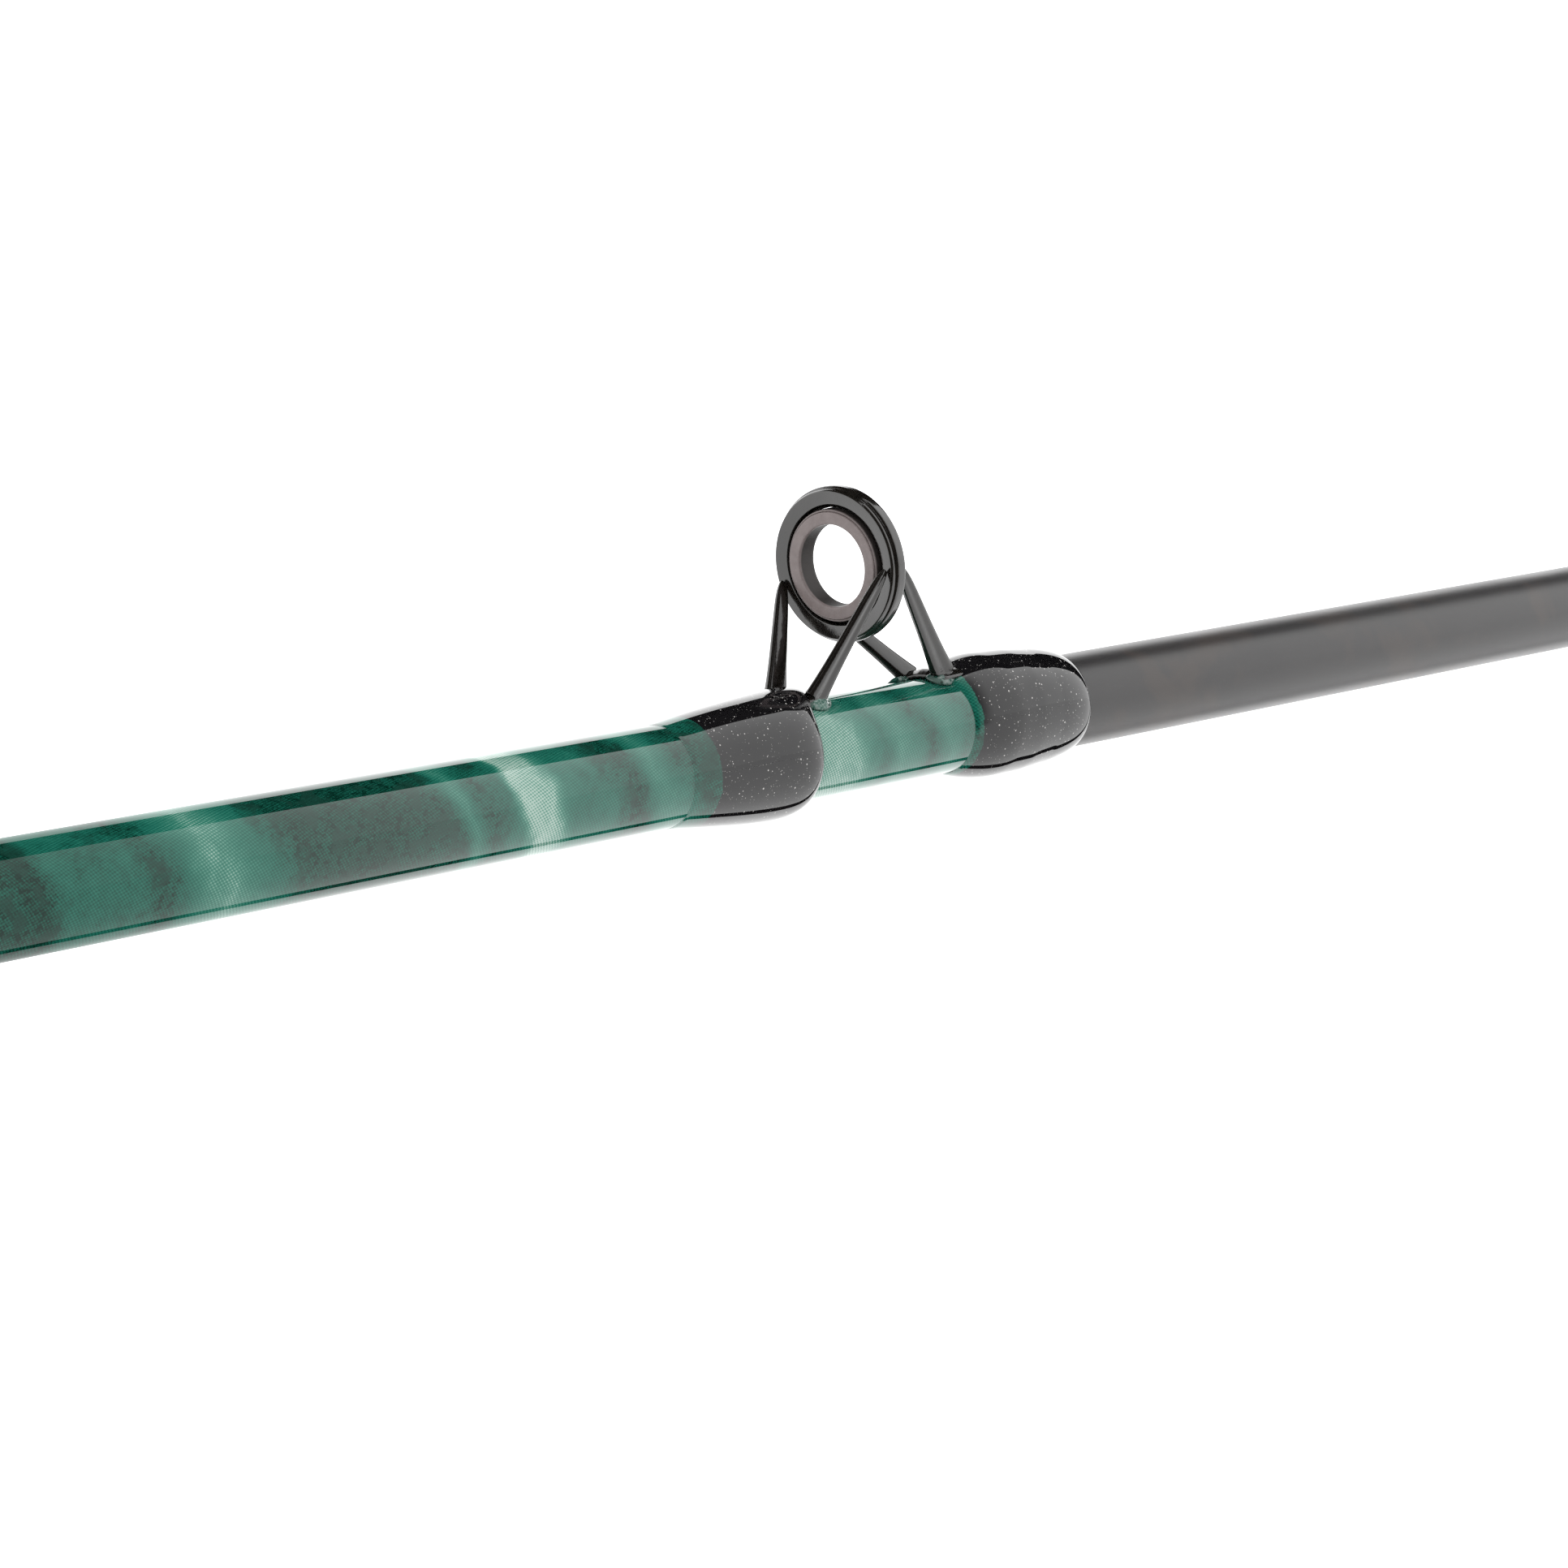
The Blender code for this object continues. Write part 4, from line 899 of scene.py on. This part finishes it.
def leg(base, top, scale, side):
    """Pressed strut: a squarish section carried from base to top, wider at its root on the foot and
    narrower at the top, with a shallow channel along its outer face."""
    base, top = np.array(base), np.array(top)
    along = (top - base) / np.linalg.norm(top - base)
    wide = np.array((1.0, 0, 0)) - along * along[0]
    wide /= np.linalg.norm(wide)
    out = np.cross(wide, along)
    out *= np.sign(out[1] * side)
    t = np.linspace(0, 1, 34)
    root = (1 - t) ** 5
    width = np.interp(t, (0, 1), LEG_WIDTH_MM) * scale * (1 + 0.22 * root) * (1 - 0.55 * t**14)
    thick = np.interp(t, (0, 1), LEG_THICKNESS_MM) * scale * (1 + 0.30 * root) * (1 - 0.45 * t**14)
    path = base + (top - base) * t[:, None]
    points = tube(path, wide, out, 40, width, thick, 0.62)
    from_middle = points - np.concatenate([path[:1], path, path[-1:]])[:, None, :]
    offset, outward = from_middle @ wide, from_middle @ out
    half = np.concatenate([width[:1], width, width[-1:]])[:, None] / 2
    channel = np.exp(-((offset / (half * 0.42)) ** 2)) * (outward > 0)
    points = points - out * (channel * 0.30 * np.abs(outward))[..., None]
    return skin("leg", points)


def foot(span, toe_first, radius, scale):
    """Foot plate bent round the rod: at each x a flat oval in (angle, radius), with its width and
    thickness going from the toe to the heel."""
    t = np.linspace(0, 1, 40)
    from_toe = t if toe_first else 1 - t
    half = np.interp(from_toe, (0, 0.75, 1), (FOOT_ANGLES[0], FOOT_ANGLES[1] * 0.92, FOOT_ANGLES[1]))
    half = half * np.clip(from_toe * 14, 0.15, 1) ** 0.5
    thick = np.interp(from_toe, (0, 0.7, 1), (TOE_MM, FOOT_MM, FOOT_MM)) * scale
    thick = thick * np.clip(np.minimum(t, 1 - t) * 22, 0.2, 1) ** 0.5
    side, rise = squarish(angles(48)[None, :], 0.5)
    angle = half[:, None] * side
    r = radius + thick[:, None] / 2 * (1 + rise)
    x = (span[0] + (span[1] - span[0]) * t)[:, None] * scale
    body = round_rod(x, r, angle)
    return skin("foot", capped(body, body.mean(axis=1, keepdims=True)))


def ring_place(insert, scale, lean):
    """Matrix that puts a ring's front face where the CAD insert says."""
    low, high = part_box(insert)
    middle = (low + high) / 2
    half = RING_WIDTH_MM * scale * MM / 2
    return Matrix.Translation(middle) @ Matrix.Rotation(-lean, 4, "Y") @ Matrix.Translation((-half, 0, 0))


def label_depth(mesh, scale):
    """Stores each point's distance behind the ring's front face, in millimetres of a full ring: the
    ceramic finish paints shade down the bore from it.
    """
    points = np.empty(len(mesh.vertices) * 3, np.float32)
    mesh.vertices.foreach_get("co", points)
    depth = mesh.attributes.new("depth", "FLOAT", "POINT")
    depth.data.foreach_set("value", points[::3] / (scale * MM))


def ring_and_insert(name, scale, lean, finishes, voxel_mm, rest):
    """Turned metal ring and ceramic insert, and the welded struts that carry them."""
    place = ring_place(f"{name}_insert", scale, lean)
    sides = 192 if scale == 1 else 128
    for profile, node, corner, finish in (
        (RING_PROFILE_MM, f"{name}_frame", 0.22, finishes["guide"]),
        (INSERT_PROFILE_MM, f"{name}_insert", 0.22, finishes["ceramic"]),
    ):
        soft = rounded(np.array(profile) * scale * MM, corner * scale * MM, 5)
        mesh = skin(node, turned(soft, sides), closed_rows=True)
        label_depth(mesh, scale)
        mesh.transform(place)
        kind = "ring" if node.endswith("frame") else "surface"
        present(f"{node}_{kind}", mesh, finish, [node])
    collar = skin("collar", turned(rounded(np.array(COLLAR_PROFILE_MM) * scale, 0.1)), closed_rows=True)
    origin = Matrix.Translation((place.translation.x, 0, 0))
    local = origin.inverted() @ place
    local.translation *= 1 / MM
    collar.transform(local)
    mesh = welded(f"{name}_struts", [collar, *rest], voxel_mm, origin)
    present(f"{name}_frame_struts", mesh, finishes["struts"], [f"{name}_frame"])


def guide(name, finishes):
    """Double-foot guide: ring, insert, four struts on two feet, and its two thread wraps."""
    insert_low, insert_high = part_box(f"{name}_guide_insert")
    scale = (insert_high.y - insert_low.y) / (2 * INSERT_R_MM * MM)
    place = ring_place(f"{name}_guide_insert", scale, RING_LEAN)
    x = place.translation.x
    voxel = WELD_MM["stripper"] if name == "stripper" else WELD_MM["others"] * scale
    meshes = []
    for (base_x, base_angle), (top_x, top_y, top_rise), span, toe_first in (
        (*REAR_LEG_MM, REAR_FOOT_MM, True),
        (*FRONT_LEG_MM, FRONT_FOOT_MM, False),
    ):
        reach = [rod_radius(x + value * scale * MM) / MM for value in span]
        radius = max(reach) + GAP_MM
        meshes.append(foot(span, toe_first, radius, scale))
        middle = radius + FOOT_MM * scale * 0.45
        rise = rod_radius(x) / MM + top_rise * scale
        for side in (-1, 1):
            base = (base_x * scale, side * middle * math.sin(base_angle), middle * math.cos(base_angle))
            top = (top_x * scale, side * top_y * scale, rise)
            meshes.append(leg(base, top, scale, side))
    ring_and_insert(f"{name}_guide", scale, RING_LEAN, finishes, voxel, meshes)
    if name != "stripper":
        for end in ("rear", "front"):
            wrap(f"{name}_guide_{end}_wrap", finishes["thread"], (FOOT_MM + 0.1) * scale)


def rear_swell(share, top):
    """Thickness in millimetres of the rear coat: it rises as 1 - (1 - s)^1.5 from the butt side and
    ends bluntly at the guide."""
    rise = (1 - (1 - share) ** 1.5) * np.maximum(1 - share**12, 0) ** 0.5
    return 0.04 * np.minimum(share * 40, 1) + (1.95 + 0.45 * top) * rise


def front_swell(share, top):
    """Thickness in millimetres of the front coat: it rises as 1 - (1 - s / 0.35)^1.8 from the
    guide, stays level, and rounds off as (1 - s^5)^0.6 at its far end."""
    rise = 1 - (1 - np.minimum(share / 0.35, 1)) ** 1.8
    fall = np.maximum(1 - share**5, 0) ** 0.6
    return 0.04 * np.minimum(share * 40, 1) + (1.65 + 0.75 * top) * rise * fall


def coat(end, span_mm, reach_mm, swell, finish):
    """Thick clear coat over a wrap: the rod's radius plus a thickness that depends on the share of
    the length and on how near the top it is. Over the top its ends reach further, round the feet."""
    nodes = [f"stripper_guide_{end}_coat", f"stripper_guide_{end}_wrap"]
    spacing = ((1 - np.cos(np.linspace(0, math.pi, 90))) / 2)[:, None]
    angle = angles(FINE_ROUND)[None, :]
    top = ((1 + np.cos(angle)) / 2) ** 1.5
    over = ((1 + np.cos(angle)) / 2) ** 9
    first, last = (value + reach * over for value, reach in zip(span_mm, reach_mm))
    x_mm = first + (last - first) * spacing
    along = np.linspace(RING_X - 0.05, RING_X + 0.06, 220)
    reach = np.linspace(-2, 2, 9) * MM
    smooth = np.array([np.mean([rod_radius(value + step) for step in reach]) for value in along])
    base = np.interp(RING_X + x_mm * MM, along, smooth)
    lumps = 0.035 * np.sin(3 * angle + 7 * spacing) * np.sin(math.pi * spacing)
    dimple = 0.0
    if end == "rear":
        pool = ((x_mm + 18.5) / 1.9) ** 2 + ((angle_from_top(angle) + 0.42) / 0.085) ** 2
        dimple = 0.30 * np.exp(-pool) - 0.12 * np.exp(-pool / 3.5)
    radius = base + (swell(spacing, top) + lumps - dimple) * MM
    mesh = jacket(end, RING_X + x_mm * MM, radius, base + 0.02 * MM, angle)
    present(f"{nodes[0]}_surface", mesh, finish, nodes)


def angle_from_top(angle):
    """The same angle between minus and plus half a turn."""
    return (angle + math.pi) % math.tau - math.pi


def fillet(name, centre_mm, size_mm, finish, node):
    """Drop of set epoxy at a leg's foot: an ellipsoid bent to the rod, with half sizes along the
    rod, round it and out from it, and three soft ripples."""
    t = np.linspace(0, math.pi, 25)[:, None]
    u = angles(48)[None, :]
    x_mm, angle, out = centre_mm
    ripple = 1 + 0.07 * np.sin(3 * u + 2 * t) * np.sin(t)
    x = RING_X + (x_mm - size_mm[0] * np.cos(t) * np.ones_like(u)) * MM
    round_angle = angle + size_mm[1] / ROD_R_MM * np.sin(t) * np.cos(u) * ripple
    radius = (ROD_R_MM + out + size_mm[2] * np.sin(t) * np.sin(u) * ripple) * MM
    drop = present(name, skin(name, round_rod(x, radius, round_angle)), finish, [node])


def tip_top(finishes):
    """Tip-top: a tube over the tip's end, a small ring on it and two braces from the tube."""
    low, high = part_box("tip_top_insert")
    scale = (high.y - low.y) / (2 * INSERT_R_MM * MM)
    place = ring_place("tip_top_insert", scale, 0.0)
    x0 = place.translation.x
    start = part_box("tip_top_frame")[0].x
    tube_r = (np.interp(start, *TIP) + 0.7 * MM) / MM
    first, last = (start - x0) / MM, RING_WIDTH_MM * scale - 0.5
    sleeve = rounded([(first, tube_r), (last, tube_r), (last, tube_r - 0.5), (first, tube_r - 0.5)], 0.2)
    parts = [skin("tube", turned(sleeve, 64), closed_rows=True)]
    rise = place.translation.z / MM
    for side in (-1, 1):
        base = np.array((first + 6.0, side * tube_r * 0.56, tube_r * 0.82))
        top = np.array((RING_WIDTH_MM * scale / 2, side * 9.3 * scale, rise))
        path = base + (top - base) * np.linspace(0, 1, 30)[:, None]
        along = (top - base) / np.linalg.norm(top - base)
        wide = np.cross(along, (0, side, 0))
        wide /= np.linalg.norm(wide)
        parts.append(skin("brace", tube(path, wide, np.cross(wide, along), 24, 1.2, 0.75, 0.7)))
    ring_and_insert("tip_top", scale, 0.0, finishes, WELD_MM["tip_top"], parts)


# ---------------------------------------------------------------- studio


def studio():
    """White surroundings, a white floor well below the rod, and black flags that only reflections
    see: a long one overhead and behind, a narrow one underneath, and one at the side that fades."""
    world = bpy.data.worlds.new("studio")
    bpy.context.scene.world = world
    world.use_nodes = True
    world.node_tree.nodes["Background"].inputs["Color"].default_value = (1, 1, 1, 1)
    world.node_tree.nodes["Background"].inputs["Strength"].default_value = SURROUND
    low, high = CAD_BOX
    white = Finish("studio_white", Roughness=1.0, Base_Color=(0.90, 0.90, 0.90), Specular_IOR_Level=0.0)
    black = Finish("flag_black", Roughness=1.0, Base_Color=(0, 0, 0), Specular_IOR_Level=0.0)
    fading = Finish("fading_flag_black", Roughness=1.0, Base_Color=(0, 0, 0), Specular_IOR_Level=0.0)
    x, y, z = fading.split(fading.place())
    share = (x - SIDE_CENTRE).math("DIVIDE", (y * y + z * z).math("SQRT"))
    clear = fading.node("ShaderNodeBsdfTransparent")
    solid = Value(fading, fading.shader.outputs[0])
    mixed = fading.node("ShaderNodeMixShader", None, {0: fading.mask(share, *SIDE_FADE), 1: clear, 2: solid})
    fading.feed(fading.tree.nodes["Material Output"].inputs["Surface"], mixed)
    wide, long = (low.x - 8, high.x + 8), (low.x - 1.5, high.x + 4)
    ground = low.z - FLOOR_DROP
    for name, finish, corners in (
        ("studio_floor", white, level_sheet(wide, (-8, 8), ground)),
        ("overhead_flag", black, level_sheet(long, OVERHEAD_Y, OVERHEAD_Z)),
        ("low_flag", black, level_sheet(long, LOW_Y, LOW_Z)),
        ("side_flag", fading, [(x, SIDE_Y, z) for x, z in corners_of(wide, (ground, SIDE_TOP))]),
        ("side_flag_foot", fading, level_sheet(wide, (SIDE_Y, LOW_Y[0]), ground + 0.01)),
    ):
        mesh = bpy.data.meshes.new(name)
        mesh.from_pydata(corners, [], [(0, 1, 2, 3)])
        mesh.materials.append(finish.material)
        sheet = placed(name, mesh)
        if name != "studio_floor":
            sheet.visible_camera = False
            sheet.visible_diffuse = False
            sheet.visible_shadow = False
            sheet.visible_transmission = False


def corners_of(first, second):
    """The four corners of a rectangle, in order."""
    return [(first[0], second[0]), (first[1], second[0]), (first[1], second[1]), (first[0], second[1])]


def level_sheet(across, along, height):
    return [(x, y, height) for x, y in corners_of(across, along)]


def camera():
    """Camera beside the stripper guide, looking along the rod towards the tip, a little tilted."""
    azimuth, elevation, roll = (math.radians(value) for value in CAMERA_TURN)
    back = Vector(
        (
            math.sin(azimuth) * math.cos(elevation),
            -math.cos(azimuth) * math.cos(elevation),
            math.sin(elevation),
        )
    )
    level = (-back).cross(Vector((0, 0, 1))).normalized()
    upright = level.cross(-back)
    right = level * math.cos(roll) + upright * math.sin(roll)
    up = upright * math.cos(roll) - level * math.sin(roll)
    lens = bpy.data.cameras.new("camera")
    lens.sensor_width = 36
    lens.lens = CAMERA_LENS
    lens.clip_start = 0.01
    view = placed("camera", lens)
    aim = Vector((RING_X + CAMERA_AIM[0], 0, CAMERA_AIM[1]))
    rotation = Matrix((right, up, back)).transposed().to_4x4()
    view.matrix_world = Matrix.Translation(aim + back * CAMERA_DISTANCE) @ rotation
    bpy.context.scene.camera = view


RING_X = ring_place("stripper_guide_insert", 1.0, RING_LEAN).translation.x
ROD_R_MM = rod_radius(RING_X) / MM


def main():
    bpy.context.scene.view_settings.view_transform = "Standard"
    studio()
    camera()
    finishes = {
        "composite": composite_finish(),
        "thread": thread_finish(),
        "guide": guide_finish("gloss_black_ring_steel", 1.66),
        "struts": guide_finish("gloss_black_strut_steel", 1.50),
        "ceramic": ceramic_finish(),
        "foam": foam_finish(),
        "rubber": rubber_finish(),
        "resin": resin_finish(),
        "steel": steel_finish(),
        "anodised": anodised_finish(),
        "arbor": arbor_finish(),
    }
    blanks(finishes["composite"])
    shell("fabric_sleeve", cloth_finish(), 0.02 * MM, FINE_ROUND)
    handle(finishes)
    keeper(finishes)
    for end in ("rear", "front"):
        wrap(f"hook_keeper_{end}_wrap", finishes["thread"], 0.8, from_bottom=True)
    for node in ("ferrule_socket_wrap", "ferrule_stop_wrap", "tip_top_wrap"):
        shell(node, finishes["thread"], 0.4 * MM)
    for name in ("stripper", "second", "third", "fourth", "fifth", "sixth"):
        guide(name, finishes)
    for end, span, reach, thread_start, swell in (
        ("rear", *REAR_COAT_MM, rear_swell),
        ("front", *FRONT_COAT_MM, front_swell),
    ):
        finish = coat_finish(f"epoxy_over_{end}_thread", (thread_start, span[1]))
        coat(end, span, reach, swell, finish)
    clear = fillet_finish()
    for name, centre, size in (
        ("near_rear_leg_drop", (-11.2, -0.52, 0.40), (2.5, 1.6, 0.75)),
        ("far_rear_leg_drop", (-11.2, 0.52, 0.40), (2.5, 1.6, 0.75)),
        ("near_front_leg_drop", (16.4, -0.42, 0.40), (2.3, 1.7, 0.80)),
        ("far_front_leg_drop", (14.6, 0.44, 0.35), (2.6, 1.5, 0.80)),
    ):
        fillet(name, centre, size, clear, "stripper_guide_frame")
    tip_top(finishes)


main()
